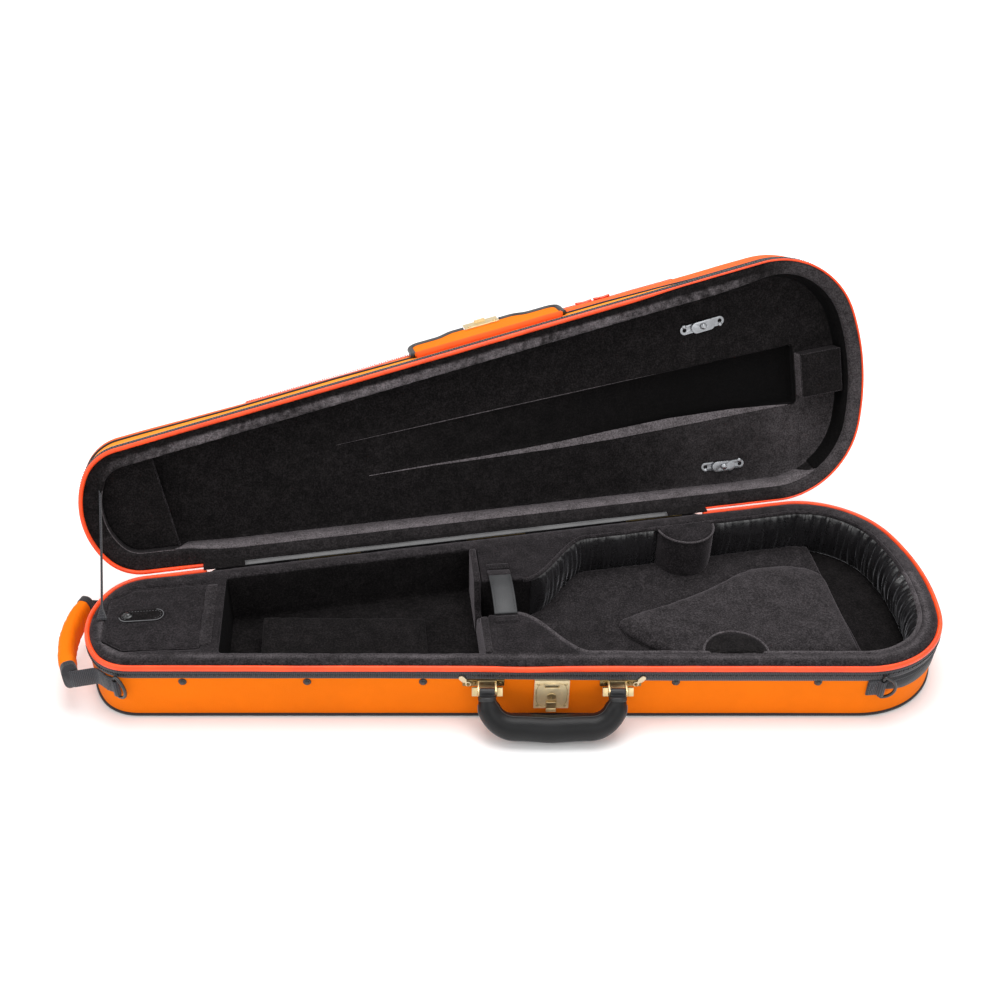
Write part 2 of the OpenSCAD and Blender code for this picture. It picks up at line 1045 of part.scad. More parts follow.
// Inner panel with a tapered channel that deepens towards the wide end
module lid_panel() {
    x0 = -150;
    x1 = 323;
    color([0.09, 0.08, 0.09])
        lid_open()
            difference() {
                slab(lid_panel_z, lid_top_z - shell_wall)
                    outline(lid_hollow_inset);
                intersection() {
                    translate([0, 60, 0])
                        rotate([90, 0, 0])
                            linear_extrude(120)
                                polygon([
                                    [x0, lid_panel_z],
                                    [x0, lid_panel_z - 5],
                                    [x1, lid_panel_z - 5],
                                    [x1, lid_floor_z - 2]
                                ]);
                    slab(lid_panel_z - 10, lid_top_z)
                        polygon([[x0, -16], [x1, -31], [x1, 31], [x0, 16]]);
                }
            }
}

// Panel over the narrow end, open towards the middle, that holds the bows' tips
module bow_tip_pocket() {
    color([0.08, 0.08, 0.08])
        lid_open()
            slab(77, 79.5)
                intersection() {
                    outline(lid_hollow_inset);
                    translate([-400, -100])
                        square([83.5, 200]);
                }
}

module lid_end_cushion() {
    color([0.1, 0.09, 0.1])
        lid_open()
            translate([324, -23.5, 72])
                cube([47.5, 47, lid_panel_z - 72]);
}

// Places children on the lid panel at a toggle, with z pointing into the lid's hollow
module at_toggle(c, a) {
    lid_open()
        translate([c.x, c.y, lid_panel_z])
            rotate([180, 0, a])
                children();
}

module toggle_plate() {
    linear_extrude(1.2)
        difference() {
            slot_shape(47, 9);
            for (x = [-19, 19])
                translate([x, 0])
                    circle(r = 2.1);
        }
    cylinder(h = 6.2, r = 2);
    translate([0, 0, 5.2])
        cylinder(h = 1.2, r = 3.2);
}

module toggle_plates() {
    color([0.75, 0.77, 0.78]) {
        at_toggle(toggle_upper_c, -side_a)
            toggle_plate();
        at_toggle(toggle_lower_c, side_a)
            toggle_plate();
    }
}

module bow_toggle() {
    translate([0, 0, 2.2])
        linear_extrude(2.6)
            difference() {
                slot_shape(25, 11);
                circle(r = 2.06);
            }
}

module toggle_upper() {
    color([0.8, 0.82, 0.83])
        at_toggle(toggle_upper_c, -side_a)
            bow_toggle();
}

module toggle_lower() {
    color([0.8, 0.82, 0.83])
        at_toggle(toggle_lower_c, side_a)
            bow_toggle();
}

base_shell();
base_bottom_welt();
base_piping();
base_zipper_tape();
wide_end_gusset();
base_foam();
base_ledge_pad();
neck_divider();
neck_support_block();
floor_cushion();
raised_body_cushion();
satin_side_padding();
rear_waist_post();
front_waist_post();
accessory_hinge_tape();
accessory_lid();
accessory_pull();
accessory_stud();
neck_strap();
neck_strap_anchor();
snap_studs();
handle_base_plates();
handle_brackets();
carry_handle();
handle_end_tabs();
handle_pivot_lugs();
handle_catch_left();
handle_catch_right();
lock_plate();
lock_lever();
lock_cylinder();
d_ring_tabs();
d_ring_left();
d_ring_right();
end_grip();
end_grip_straps();
zipper_slider_left();
zipper_slider_right();
hinge_base_leaves();
hinge_lid_leaves();
hinge_pins();
hinge_strip();
stay_ribbon();
lid_shell();
lid_piping();
lid_zipper_tape();
lid_welts();
music_pocket();
pocket_zipper();
pocket_slider_left();
pocket_slider_right();
lid_flap();
hasp_plate();
lid_foam_ring();
lid_panel();
bow_tip_pocket();
lid_end_cushion();
toggle_plates();
toggle_upper();
toggle_lower();
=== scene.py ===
"""The looks of a dart-shaped violin case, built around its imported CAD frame.

Lengths are millimetres in this file until make_piece() turns them into metres. The plan outline is
the same as the CAD model's: "inset" is a distance inwards from it. Lid pieces are drawn as if the
lid were closed, and LID_OPEN turns them to the open rest pose.
"""
import json
import math

import bmesh
import bpy
import numpy as np
from mathutils import Matrix, Vector, noise


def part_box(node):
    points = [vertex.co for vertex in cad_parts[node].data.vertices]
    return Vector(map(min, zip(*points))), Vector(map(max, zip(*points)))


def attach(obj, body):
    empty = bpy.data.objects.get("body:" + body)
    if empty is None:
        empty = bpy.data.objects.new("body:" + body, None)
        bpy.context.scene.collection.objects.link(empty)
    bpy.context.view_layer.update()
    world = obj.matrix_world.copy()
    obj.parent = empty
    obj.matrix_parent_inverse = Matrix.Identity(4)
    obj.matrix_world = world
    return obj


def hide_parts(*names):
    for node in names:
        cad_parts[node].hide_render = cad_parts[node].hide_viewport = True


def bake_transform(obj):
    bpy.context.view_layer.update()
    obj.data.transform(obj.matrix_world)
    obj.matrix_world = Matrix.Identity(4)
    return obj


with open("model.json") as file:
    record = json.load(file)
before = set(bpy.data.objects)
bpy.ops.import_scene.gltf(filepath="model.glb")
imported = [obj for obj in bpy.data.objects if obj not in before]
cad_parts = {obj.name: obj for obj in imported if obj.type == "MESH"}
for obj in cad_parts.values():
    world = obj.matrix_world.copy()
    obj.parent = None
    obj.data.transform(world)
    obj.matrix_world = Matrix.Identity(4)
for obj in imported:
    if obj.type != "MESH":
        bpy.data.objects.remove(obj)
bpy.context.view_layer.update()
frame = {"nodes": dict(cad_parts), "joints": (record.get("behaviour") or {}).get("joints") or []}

MM = 0.001

# Plan outline of the case
LENGTH = 790.0
WIDE_R, WIDE_CORNER, WIDE_ANGLE = 237.6, 90.0, math.radians(14.5)
NARROW_R, NARROW_CORNER, NARROW_ANGLE = 81.2, 45.0, math.radians(32)

# Heights, with the lid closed
LEDGE_Z = 60.0
BASE_PIPING_Z, LID_PIPING_Z = 56.4, 63.5
TAPE_Z0 = 46.0
FLOOR_Z = 6.0
LID_LINING_Z, LID_PANEL_Z = 66.5, 88.0
WELT_Z = 82.0

# Insets
SHELL, PIPING, CAVITY = 2.5, 3.0, 20.0

# Hinge stretch on the back's straight side, and the handle's middle on the front's
HINGE_S0, HINGE_S1, HANDLE_S = -533.0, -76.0, -277.0
CORD_S0, CORD_S1 = -587.0, -88.0


# ---- Outline ----

wide_cx = LENGTH/2 - WIDE_R
narrow_cx = NARROW_R - LENGTH/2
wide_c = np.array([math.cos(WIDE_ANGLE), math.sin(WIDE_ANGLE)])*(WIDE_R - WIDE_CORNER)
wide_c = wide_c + [wide_cx, 0]
narrow_c = np.array([-math.cos(NARROW_ANGLE), math.sin(NARROW_ANGLE)])*(NARROW_R - NARROW_CORNER)
narrow_c = narrow_c + [narrow_cx, 0]
between = wide_c - narrow_c
SIDE_A = math.atan2(between[1], between[0])
SIDE_A += math.asin((WIDE_CORNER - NARROW_CORNER)/np.linalg.norm(between))
side_normal = np.array([-math.sin(SIDE_A), math.cos(SIDE_A)])
wide_t = wide_c + WIDE_CORNER*side_normal
narrow_t = narrow_c + NARROW_CORNER*side_normal

# Stretches of the back half, from the wide end's middle to the narrow end's: each is an arc's
# centre, radius, first and last angle, or None for the straight side
STRETCHES = [
    (np.array([wide_cx, 0]), WIDE_R, 0, WIDE_ANGLE),
    (wide_c, WIDE_CORNER, WIDE_ANGLE, math.pi/2 + SIDE_A),
    None,
    (narrow_c, NARROW_CORNER, math.pi/2 + SIDE_A, math.pi - NARROW_ANGLE),
    (np.array([narrow_cx, 0]), NARROW_R, math.pi - NARROW_ANGLE, math.pi),
]
LENGTHS = [
    np.linalg.norm(wide_t - narrow_t) if arc is None else arc[1]*(arc[3] - arc[2])
    for arc in STRETCHES
]
HALF = sum(LENGTHS)
TURN = 2*HALF
SIDE_START = LENGTHS[0] + LENGTHS[1]


def at(d):
    """Point and outward normal of the outline at distance d, anticlockwise from the wide end."""
    d = d % TURN
    if d > HALF:
        p, n = at(TURN - d)
        return p*[1, -1], n*[1, -1]
    for arc, length in zip(STRETCHES, LENGTHS):
        if d <= length + 1e-9:
            break
        d -= length
    if arc is None:
        return wide_t + (narrow_t - wide_t)*d/length, side_normal
    centre, radius, a0, _ = arc
    a = a0 + d/radius
    n = np.array([math.cos(a), math.sin(a)])
    return centre + radius*n, n


def back_at(s):
    """Distance round the outline of place s on the back's straight side."""
    return SIDE_START - s


def front_at(s):
    """Distance round the outline of place s on the front's straight side."""
    return TURN - SIDE_START + s


def path_between(d0, d1, step=4.0):
    """Distances from d0 to d1, evenly spaced."""
    return np.linspace(d0, d1, max(2, int(round(abs(d1 - d0)/step)) + 1))


def whole_outline(step=4.0):
    """Distances once round the outline, without repeating the first."""
    return np.linspace(0, TURN, int(TURN/step), endpoint=False)


def inset_points(distances, inset):
    """Plan points at an inset from the outline."""
    return [tuple(p - inset*n) for p, n in (at(d) for d in distances)]


def side_half(x, inset):
    """Half width of the space inside an inset, at a place along the straight sides."""
    return wide_t[1] - (wide_t[0] - x)*math.tan(SIDE_A) - inset/math.cos(SIDE_A)


def inset_of(points):
    """How far plan points lie inside the outline."""
    ring = np.array(inset_points(whole_outline(3.0), 0))
    ends = np.roll(ring, -1, axis=0)
    along = ends - ring
    nearest = np.full(len(points), 1e9)
    for a, v in zip(ring, along):
        t = np.clip(((points - a) @ v)/(v @ v), 0, 1)
        gap = np.hypot(*(points - a - t[:, None]*v).T)
        nearest = np.minimum(nearest, gap)
    return nearest


# ---- Frames of the front, the back, the corners and the open lid ----

def frame_at(d, z=0.0, out=0.0):
    """Matrix with x along the outline (anticlockwise), -y outwards and z up, at distance d."""
    p, n = at(d)
    x = (-n[1], n[0], 0)
    origin = (*(p + out*n), z)
    return Matrix((
        (x[0], -n[0], 0, origin[0]),
        (x[1], -n[1], 0, origin[1]),
        (0, 0, 1, origin[2]),
        (0, 0, 0, 1),
    ))


def front_frame(s, z=0.0, out=0.0):
    """Matrix with x along the front towards the wide end, -y outwards and z up."""
    return frame_at(front_at(s), z, out)


joints = {joint["name"]: joint for joint in frame["joints"]}


def turn_about(name, degrees):
    """Rotation about a joint's axis, in millimetres."""
    joint = joints[name]
    pivot = Vector(joint["pos_m"])/MM
    spin = Matrix.Rotation(math.radians(degrees), 4, Vector(joint["axis"]))
    return Matrix.Translation(pivot) @ spin @ Matrix.Translation(-pivot)


LID_OPEN = turn_about("lid_hinge", -joints["lid_hinge"]["range_deg"][0])
FLAP_FOLD = turn_about("flap_hinge", -joints["flap_hinge"]["range_deg"][0])


# ---- Mesh building ----

def make_piece(name, verts, faces, uvs=None, matrix=None, smooth=True):
    """A mesh object in metres, from millimetres."""
    mesh = bpy.data.meshes.new(name)
    mesh.from_pydata([tuple(v) for v in verts], [], [tuple(f) for f in faces])
    if uvs is not None:
        layer = mesh.uv_layers.new(name="weave")
        loops = np.zeros(len(mesh.loops), np.int32)
        mesh.loops.foreach_get("vertex_index", loops)
        layer.data.foreach_set("uv", (np.asarray(uvs)[loops]*MM).astype(np.float32).ravel())
    if matrix is not None:
        mesh.transform(matrix)
    mesh.transform(Matrix.Scale(MM, 4))
    piece = bpy.data.objects.new(name, mesh)
    bpy.context.scene.collection.objects.link(piece)
    fix_normals(mesh)
    mesh.polygons.foreach_set("use_smooth", [smooth]*len(mesh.polygons))
    return piece


def plan_noise(points, size, seed):
    """Smooth noise over the plan, for each point."""
    return np.array([noise.noise(Vector((x/size, y/size, seed))) for x, y, _ in points])


def fix_normals(mesh):
    """Turns all faces outwards."""
    bm = bmesh.new()
    bm.from_mesh(mesh)
    bmesh.ops.recalc_face_normals(bm, faces=bm.faces)
    bm.to_mesh(mesh)
    bm.free()


def grid_faces(rows, columns, close_rows=False, close_columns=False):
    """Quads of a grid of vertices stored row by row."""
    faces = []
    for i in range(rows if close_rows else rows - 1):
        for j in range(columns if close_columns else columns - 1):
            a, b = i, (i + 1) % rows
            c, d = j, (j + 1) % columns
            faces.append((a*columns + c, b*columns + c, b*columns + d, a*columns + d))
    return faces


def end_caps(rows, columns):
    """Faces that close the first and last rows of a tube-like grid."""
    return [tuple(range(columns)), tuple(range((rows - 1)*columns, rows*columns))]


def sweep(name, distances, profile, closed, shift=None, matrix=None):
    """A closed section of (inset, z) points swept round the outline.

    shift(d, i) returns what to add to point i's inset and z at distance d. With closed=False the
    two ends are capped.
    """
    rows, columns = len(distances), len(profile)
    lengths = np.cumsum([0] + [math.dist(profile[i], profile[i - 1]) for i in range(1, columns)])
    verts, uvs = [], []
    for d in distances:
        p, n = at(d)
        for i, (inset, z) in enumerate(profile):
            if shift:
                d_inset, d_z = shift(d, i)
                inset, z = inset + d_inset, z + d_z
            verts.append((*(p - n*inset), z))
            uvs.append((d, lengths[i]))
    faces = grid_faces(rows, columns, close_rows=closed, close_columns=True)
    if not closed:
        faces += end_caps(rows, columns)
    return make_piece(name, verts, faces, uvs, matrix)


def tube(name, points, radius, sides=12, matrix=None, closed=False, flatten=(1, 1)):
    """A round or oval cord through points; radius is a number or one for each point."""
    points = [Vector(p) for p in points]
    count = len(points)
    radii = [radius]*count if isinstance(radius, (int, float)) else radius
    verts, uvs = [], []
    length = 0.0
    side = None
    for i, p in enumerate(points):
        ahead = points[(i + 1) % count] if closed or i < count - 1 else p
        behind = points[i - 1] if closed or i > 0 else p
        tangent = (ahead - behind).normalized()
        if side is None:
            side = tangent.cross(Vector((0, 0, 1)))
            if side.length < 0.1:
                side = tangent.cross(Vector((0, 1, 0)))
        side = (side - tangent*side.dot(tangent)).normalized()
        up = tangent.cross(side)
        if i:
            length += (p - points[i - 1]).length
        for j in range(sides):
            a = 2*math.pi*j/sides
            x = flatten[0]*radii[i]*math.cos(a)
            y = flatten[1]*radii[i]*math.sin(a)
            verts.append(p + x*side + y*up)
            uvs.append((length, radii[i]*a))
    faces = grid_faces(count, sides, close_rows=closed, close_columns=True)
    if not closed:
        faces += end_caps(count, sides)
    return make_piece(name, verts, faces, uvs, matrix)


def prism(name, outline, z0, z1, matrix=None):
    """An upright solid on a plan outline."""
    count = len(outline)
    verts = [(x, y, z0) for x, y in outline] + [(x, y, z1) for x, y in outline]
    faces = [tuple(range(count)), tuple(range(count, 2*count))]
    faces += [(i, (i + 1) % count, count + (i + 1) % count, count + i) for i in range(count)]
    return make_piece(name, verts, faces, None, matrix, smooth=False)


def apply_modifiers(piece):
    """Replaces the piece's mesh with what its modifiers make of it."""
    graph = bpy.context.evaluated_depsgraph_get()
    mesh = bpy.data.meshes.new_from_object(piece.evaluated_get(graph))
    piece.modifiers.clear()
    old = piece.data
    piece.data = mesh
    bpy.data.meshes.remove(old)


def carve(piece, cutters, operation="DIFFERENCE"):
    """Cuts, or joins, other solids, which are used up."""
    for cutter in cutters:
        modifier = piece.modifiers.new("cut", "BOOLEAN")
        modifier.operation = operation
        modifier.solver = "EXACT"
        modifier.object = cutter
    apply_modifiers(piece)
    for cutter in cutters:
        bpy.data.objects.remove(cutter)
    return piece


def coords(piece):
    """The vertices in millimetres."""
    out = np.zeros(len(piece.data.vertices)*3)
    piece.data.vertices.foreach_get("co", out)
    return out.reshape(-1, 3)/MM


def set_coords(piece, points):
    piece.data.vertices.foreach_set("co", (points*MM).ravel())
    piece.data.update()


def carry(piece, matrix):
    """Moves a finished piece by a matrix in millimetres."""
    piece.data.transform(Matrix.Scale(MM, 4) @ matrix @ Matrix.Scale(1/MM, 4))


def smooth_shade(piece):
    piece.data.polygons.foreach_set("use_smooth", [True]*len(piece.data.polygons))


def soften(piece, voxel=2.0, rounds=4):
    """Rounds a solid's edges the way foam under cloth does."""
    remesh = piece.modifiers.new("remesh", "REMESH")
    remesh.mode = "VOXEL"
    remesh.voxel_size = voxel*MM
    remesh.use_smooth_shade = True
    relax = piece.modifiers.new("relax", "SMOOTH")
    relax.factor = 0.5
    relax.iterations = rounds
    apply_modifiers(piece)
    smooth_shade(piece)
    return piece


def ripple(piece, size, height, seed=0.0):
    """Pushes vertices along their normals by smooth noise, so that cloth isn't perfectly flat."""
    points = coords(piece)
    normals = np.zeros(len(points)*3)
    piece.data.vertices.foreach_get("normal", normals)
    offset = Vector((seed, 2*seed, -seed))
    lift = np.array([noise.noise(Vector(p)/size + offset) for p in points])
    set_coords(piece, points + normals.reshape(-1, 3)*(height*lift)[:, None])
    return piece


def puff(piece, pressure, cap, voxel=5.0):
    """Inflates a closed solid as a cushion by cloth simulation, moving no point more than cap."""
    soften(piece, voxel, 5)
    start = coords(piece)
    cloth = piece.modifiers.new("cloth", "CLOTH")
    settings = cloth.settings
    settings.use_pressure = True
    settings.uniform_pressure_force = pressure
    settings.quality = 4
    settings.effector_weights.gravity = 0
    scene = bpy.context.scene
    for number in range(1, 21):
        scene.frame_set(number)
        bpy.context.evaluated_depsgraph_get()
    apply_modifiers(piece)
    scene.frame_set(1)
    move = coords(piece) - start
    far = np.linalg.norm(move, axis=1)
    scale = np.minimum(1, cap/np.maximum(far, 1e-6))
    set_coords(piece, start + move*scale[:, None])
    fine = piece.modifiers.new("fine", "SUBSURF")
    fine.levels = 1
    apply_modifiers(piece)
    smooth_shade(piece)
    return piece


def merge(name, pieces):
    """Joins several pieces into one mesh."""
    bm = bmesh.new()
    for piece in pieces:
        piece.data.transform(piece.matrix_world)
        bm.from_mesh(piece.data)
    mesh = bpy.data.meshes.new(name)
    bm.to_mesh(mesh)
    bm.free()
    for piece in pieces:
        bpy.data.objects.remove(piece)
    joined = bpy.data.objects.new(name, mesh)
    bpy.context.scene.collection.objects.link(joined)
    return joined


# ---- Materials ----

class Nodes:
    """Short calls for building a procedural material."""

    def __init__(self, name, roughness, metallic=0.0):
        self.material = bpy.data.materials.new(name)
        self.material.use_nodes = True
        self.tree = self.material.node_tree
        self.shader = self.tree.nodes["Principled BSDF"]
        self.shader.inputs["Roughness"].default_value = roughness
        self.shader.inputs["Metallic"].default_value = metallic

    def add(self, kind, **settings):
        node = self.tree.nodes.new(kind)
        for key, value in settings.items():
            if key in node.inputs:
                node.inputs[key].default_value = value
            else:
                setattr(node, key, value)
        return node

    def link(self, source, target):
        self.tree.links.new(source, target)

    def place(self, use_uv=False, stretch=(1, 1, 1)):
        """Texture coordinates, in metres."""
        if use_uv:
            source = self.add("ShaderNodeUVMap", uv_map="weave").outputs[0]
        else:
            source = self.add("ShaderNodeTexCoord").outputs["Object"]
        mapping = self.add("ShaderNodeMapping", Scale=stretch)
        self.link(source, mapping.inputs[0])
        return mapping.outputs[0]

    def noise(self, place, scale, detail=2.0, rough=0.5):
        node = self.add("ShaderNodeTexNoise", Scale=scale, Detail=detail, Roughness=rough)
        self.link(place, node.inputs["Vector"])
        return node.outputs["Fac"]

    def wave(self, place, scale, direction, distortion=0.0):
        node = self.add("ShaderNodeTexWave", bands_direction=direction,
                        Scale=scale, Distortion=distortion)
        self.link(place, node.inputs["Vector"])
        return node.outputs["Fac"]

    def math(self, operation, a, b):
        node = self.add("ShaderNodeMath", operation=operation)
        for socket, value in zip(node.inputs, (a, b)):
            if isinstance(value, (int, float)):
                socket.default_value = value
            else:
                self.link(value, socket)
        return node.outputs[0]

    def ramp(self, fac, stops):
        """Colours along 0 to 1; stops are (place, colour)."""
        node = self.add("ShaderNodeValToRGB")
        elements = node.color_ramp.elements
        while len(elements) < len(stops):
            elements.new(0.5)
        for element, (place, colour) in zip(elements, stops):
            element.position = place
            element.color = (*colour, 1)
        self.link(fac, node.inputs[0])
        return node.outputs[0]

    def blend(self, fac, first, second):
        """Mixes two colours."""
        node = self.add("ShaderNodeMix", data_type="RGBA")
        colours = [socket for socket in node.inputs if socket.type == "RGBA"]
        self.link(fac, node.inputs[0])
        self.link(first, colours[0])
        self.link(second, colours[1])
        return [socket for socket in node.outputs if socket.type == "RGBA"][0]

    def colour(self, source):
        self.link(source, self.shader.inputs["Base Color"])

    def roughness(self, source, low, high):
        node = self.add("ShaderNodeMapRange")
        node.inputs["To Min"].default_value = low
        node.inputs["To Max"].default_value = high
        self.link(source, node.inputs[0])
        self.link(node.outputs[0], self.shader.inputs["Roughness"])

    def bump(self, height, distance, strength=1.0):
        """Adds a bump, in metres, on top of any that is there."""
        node = self.add("ShaderNodeBump", Strength=strength, Distance=distance)
        socket = self.shader.inputs["Normal"]
        if socket.is_linked:
            self.link(socket.links[0].from_socket, node.inputs["Normal"])
        self.link(height, node.inputs["Height"])
        self.link(node.outputs[0], socket)

    def sheen(self, weight, roughness, tint=(1, 1, 1)):
        self.shader.inputs["Sheen Weight"].default_value = weight
        self.shader.inputs["Sheen Roughness"].default_value = roughness
        self.shader.inputs["Sheen Tint"].default_value = (*tint, 1)

    def gloss(self, specular=0.5, coat=0.0, coat_roughness=0.2):
        self.shader.inputs["Specular IOR Level"].default_value = specular
        self.shader.inputs["Coat Weight"].default_value = coat
        self.shader.inputs["Coat Roughness"].default_value = coat_roughness


def shade(colour, factor):
    return tuple(c*factor for c in colour)


def canvas(name, colour):
    """Tightly woven outer cloth: crossing threads, slubs and faint soiling."""
    m = Nodes(name, 0.75)
    thread = 0.0007
    place = m.place()
    patches = m.noise(place, 14, 4, 0.6)
    m.colour(m.ramp(patches, [(0.3, shade(colour, 0.93)), (0.7, shade(colour, 1.05))]))
    threads = m.math("ADD", m.noise(m.place(stretch=(1, 1, 0.12)), 1/thread, 1),
                     m.noise(m.place(stretch=(0.12, 0.12, 1)), 1/thread, 1))
    m.bump(threads, 0.00012, 0.7)
    m.bump(m.noise(place, 60, 3), 0.0004, 0.35)
    m.roughness(m.noise(place, 900, 2), 0.66, 0.9)
    m.sheen(0.05, 0.5, (1, 0.5, 0.2))
    m.gloss(0.12)
    return m.material


def velvet(name, colour, sheen_and_painted_light=(0.30, 0.27, 0.29), weight=0.55):
    """Short-nap velvet: dark face, pale sheen and random mottling, with light and shade painted into the
    colour from a point attribute.
    """
    m = Nodes(name, 0.95)
    place = m.place()
    lean = m.noise(place, 70, 6, 0.7)
    tufts = m.noise(place, 650, 3, 0.75)
    mixed = m.math("ADD", m.math("MULTIPLY", lean, 0.3), m.math("MULTIPLY", tufts, 0.7))
    face = m.ramp(mixed, [(0.40, shade(colour, 0.3)), (0.5, colour), (0.62, shade(colour, 2.6))])
    # Point attribute of painted light and shade: above 0 mixes in the paler colour below as painted light,
    # below 0 the darker one as painted shade.
    painted_light_and_shade = m.add("ShaderNodeAttribute", attribute_name="sheen_and_painted_light").outputs["Fac"]
    raised = m.ramp(mixed, [(0.40, (0.05, 0.044, 0.046)), (0.62, (0.19, 0.17, 0.18))])
    shadow = m.ramp(mixed, [(0.4, shade(colour, 0.12)), (0.65, shade(colour, 0.45))])
    m.colour(m.blend(m.math("MULTIPLY", painted_light_and_shade, -1), m.blend(painted_light_and_shade, face, raised), shadow))
    m.bump(tufts, 0.0005, 0.6)
    m.bump(lean, 0.0012, 0.3)
    m.sheen(weight, 0.42, sheen_and_painted_light)
    m.gloss(0.12)
    return m.material


def satin(name, colour, roughness=0.34):
    """Smooth satin with long crossing highlights."""
    m = Nodes(name, roughness)
    place = m.place()
    m.colour(m.ramp(m.noise(place, 30, 3), [(0.35, shade(colour, 0.8)), (0.7, shade(colour, 1.25))]))
    m.bump(m.noise(m.place(stretch=(1, 1, 0.1)), 1800, 1), 0.00006, 0.5)
    m.bump(m.noise(place, 75, 4), 0.0022, 0.5)
    m.roughness(m.noise(place, 300, 2), roughness - 0.06, roughness + 0.1)
    m.sheen(0.4, 0.3, (0.8, 0.8, 0.85))
    m.gloss(0.9)
    return m.material


def webbing(name, colour):
    """Woven tape: twill rows across its length."""
    m = Nodes(name, 0.8)
    pitch = 0.0016
    place = m.place(use_uv=True)
    weft = m.wave(place, 1/pitch/6.28*2, "X")
    twill = m.wave(place, 1/pitch/6.28*4, "DIAGONAL", 0.6)
    weave = m.math("MULTIPLY", weft, twill)
    fuzz = m.noise(m.place(), 1500, 2)
    mixed = m.math("ADD", m.math("MULTIPLY", weave, 0.6), m.math("MULTIPLY", fuzz, 0.4))
    m.colour(m.ramp(mixed, [(0.2, shade(colour, 0.45)), (0.75, shade(colour, 1.7))]))
    m.bump(weave, 0.0003, 0.8)
    m.sheen(0.2, 0.5)
    m.gloss(0.25)
    return m.material


def leather(name, colour, roughness=0.42, grain=0.0011, gloss=0.5):
    """Leather with pebbled grain, and paler where it is rubbed."""
    m = Nodes(name, roughness)
    place = m.place()
    cells = m.add("ShaderNodeTexVoronoi", Scale=1/grain)
    m.link(place, cells.inputs["Vector"])
    rubbed = m.noise(place, 35, 4, 0.6)
    m.colour(m.ramp(rubbed, [(0.35, shade(colour, 0.85)), (0.72, shade(colour, 1.35))]))
    m.bump(cells.outputs["Distance"], 0.00022, 0.5)
    m.bump(m.noise(place, 250, 3), 0.0003, 0.3)
    m.roughness(rubbed, roughness - 0.08, roughness + 0.12)
    m.gloss(gloss)
    return m.material


def metal(name, colour, roughness):
    """Plated metal with fine scratches and smudges."""
    m = Nodes(name, roughness, 1.0)
    place = m.place()
    smudge = m.noise(place, 220, 3, 0.6)
    m.colour(m.ramp(smudge, [(0.3, shade(colour, 0.92)), (0.7, shade(colour, 1.05))]))
    m.roughness(smudge, max(0.08, roughness - 0.05), roughness + 0.08)
    m.bump(m.noise(m.place(), 2500, 2), 0.00002, 0.15)
    return m.material


def paint(name, colour, roughness=0.25):
    """Glossy enamel or moulded plastic with slight orange peel."""
    m = Nodes(name, roughness)
    place = m.place()
    m.colour(m.ramp(m.noise(place, 120, 3), [(0.3, shade(colour, 0.85)), (0.7, shade(colour, 1.15))]))
    m.bump(m.noise(place, 1400, 2), 0.00004, 0.5)
    m.roughness(m.noise(place, 400, 2), roughness - 0.07, roughness + 0.1)
    m.gloss(0.6, 0.3, 0.15)
    return m.material


ORANGE = canvas("orange_canvas", (0.83, 0.165, 0.0))
LID_ORANGE = canvas("lid_canvas", (0.93, 0.27, 0.015))
RED_ORANGE = canvas("red_orange_canvas", (0.86, 0.115, 0.022))
PIPE = leather("orange_piping_skin", (0.95, 0.068, 0.006), 0.4, 0.0016)
WEB = webbing("black_woven_tape", (0.055, 0.055, 0.062))
WELT = webbing("black_welt", (0.03, 0.03, 0.034))
# One black velvet in four brightnesses. The darker copies are painted shade where they line recesses, low
# faces and the lid's inside, and the darkest is painted shadow. The paler copy is painted light on raised
# pads, rolls and edge lines.
VELVET = velvet("black_velvet", (0.0125, 0.0108, 0.0118))
VELVET_DARK = velvet("black_velvet_dark", (0.0065, 0.0056, 0.0058), weight=0.16)
VELVET_SHADOW = velvet("black_velvet_shadow", (0.0022, 0.0019, 0.002), (0.1, 0.09, 0.1), 0.03)
VELVET_PALE = velvet("black_velvet_pale", (0.016, 0.014, 0.015), weight=0.7)
SATIN = satin("black_satin", (0.010, 0.0095, 0.0105), 0.27)
GREY_SATIN = satin("grey_satin", (0.075, 0.074, 0.076), 0.6)
HANDLE_LEATHER = leather("handle_leather", (0.006, 0.006, 0.0065), 0.4, gloss=0.26)
TRIM_LEATHER = leather("trim_leather", (0.014, 0.014, 0.015), 0.45)
STRAP_LEATHER = leather("strap_leather", (0.038, 0.039, 0.041), 0.55)
GOLD = metal("pale_gold_plate", (0.70, 0.55, 0.30), 0.38)
CATCH_GOLD = metal("catch_plate", (0.66, 0.56, 0.38), 0.45)
LOCK_GOLD = metal("lock_plate_gold", (0.95, 0.80, 0.52), 0.6)
BRONZE = metal("dark_bronze_plate", (0.24, 0.175, 0.075), 0.3)
SILVER = metal("nickel_plate", (0.40, 0.41, 0.43), 0.28)
BLACK = paint("black_enamel", (0.006, 0.006, 0.0065), 0.34)
RED = paint("red_enamel", (0.78, 0.075, 0.02))
DARK = paint("dark_slot", (0.004, 0.004, 0.004), 0.6)
SEAM = leather("seam_edge", (0.10, 0.10, 0.105), 0.5)


def dress(piece, material, body=None, replaces=()):
    """Gives a piece its material and body, and hides the CAD nodes it stands for."""
    piece.data.materials.clear()
    piece.data.materials.append(material)
    if body:
        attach(piece, body)
    if replaces:
        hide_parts(*replaces)
    return piece


def polished(node, material, body, width=0.35):
    """A copy of a CAD node with its sharp edges rounded, in the node's place."""
    source = frame["nodes"][node]
    mesh = source.data.copy()
    bm = bmesh.new()
    bm.from_mesh(mesh)
    bmesh.ops.remove_doubles(bm, verts=bm.verts, dist=1e-6)
    bmesh.ops.dissolve_limit(bm, angle_limit=math.radians(1), verts=bm.verts, edges=bm.edges)
    bm.to_mesh(mesh)
    bm.free()
    piece = bpy.data.objects.new(node + "_finished", mesh)
    bpy.context.scene.collection.objects.link(piece)
    bevel_edges(piece, width)
    return dress(piece, material, body, [node])


# ---- Shapes that the base and the lid share ----

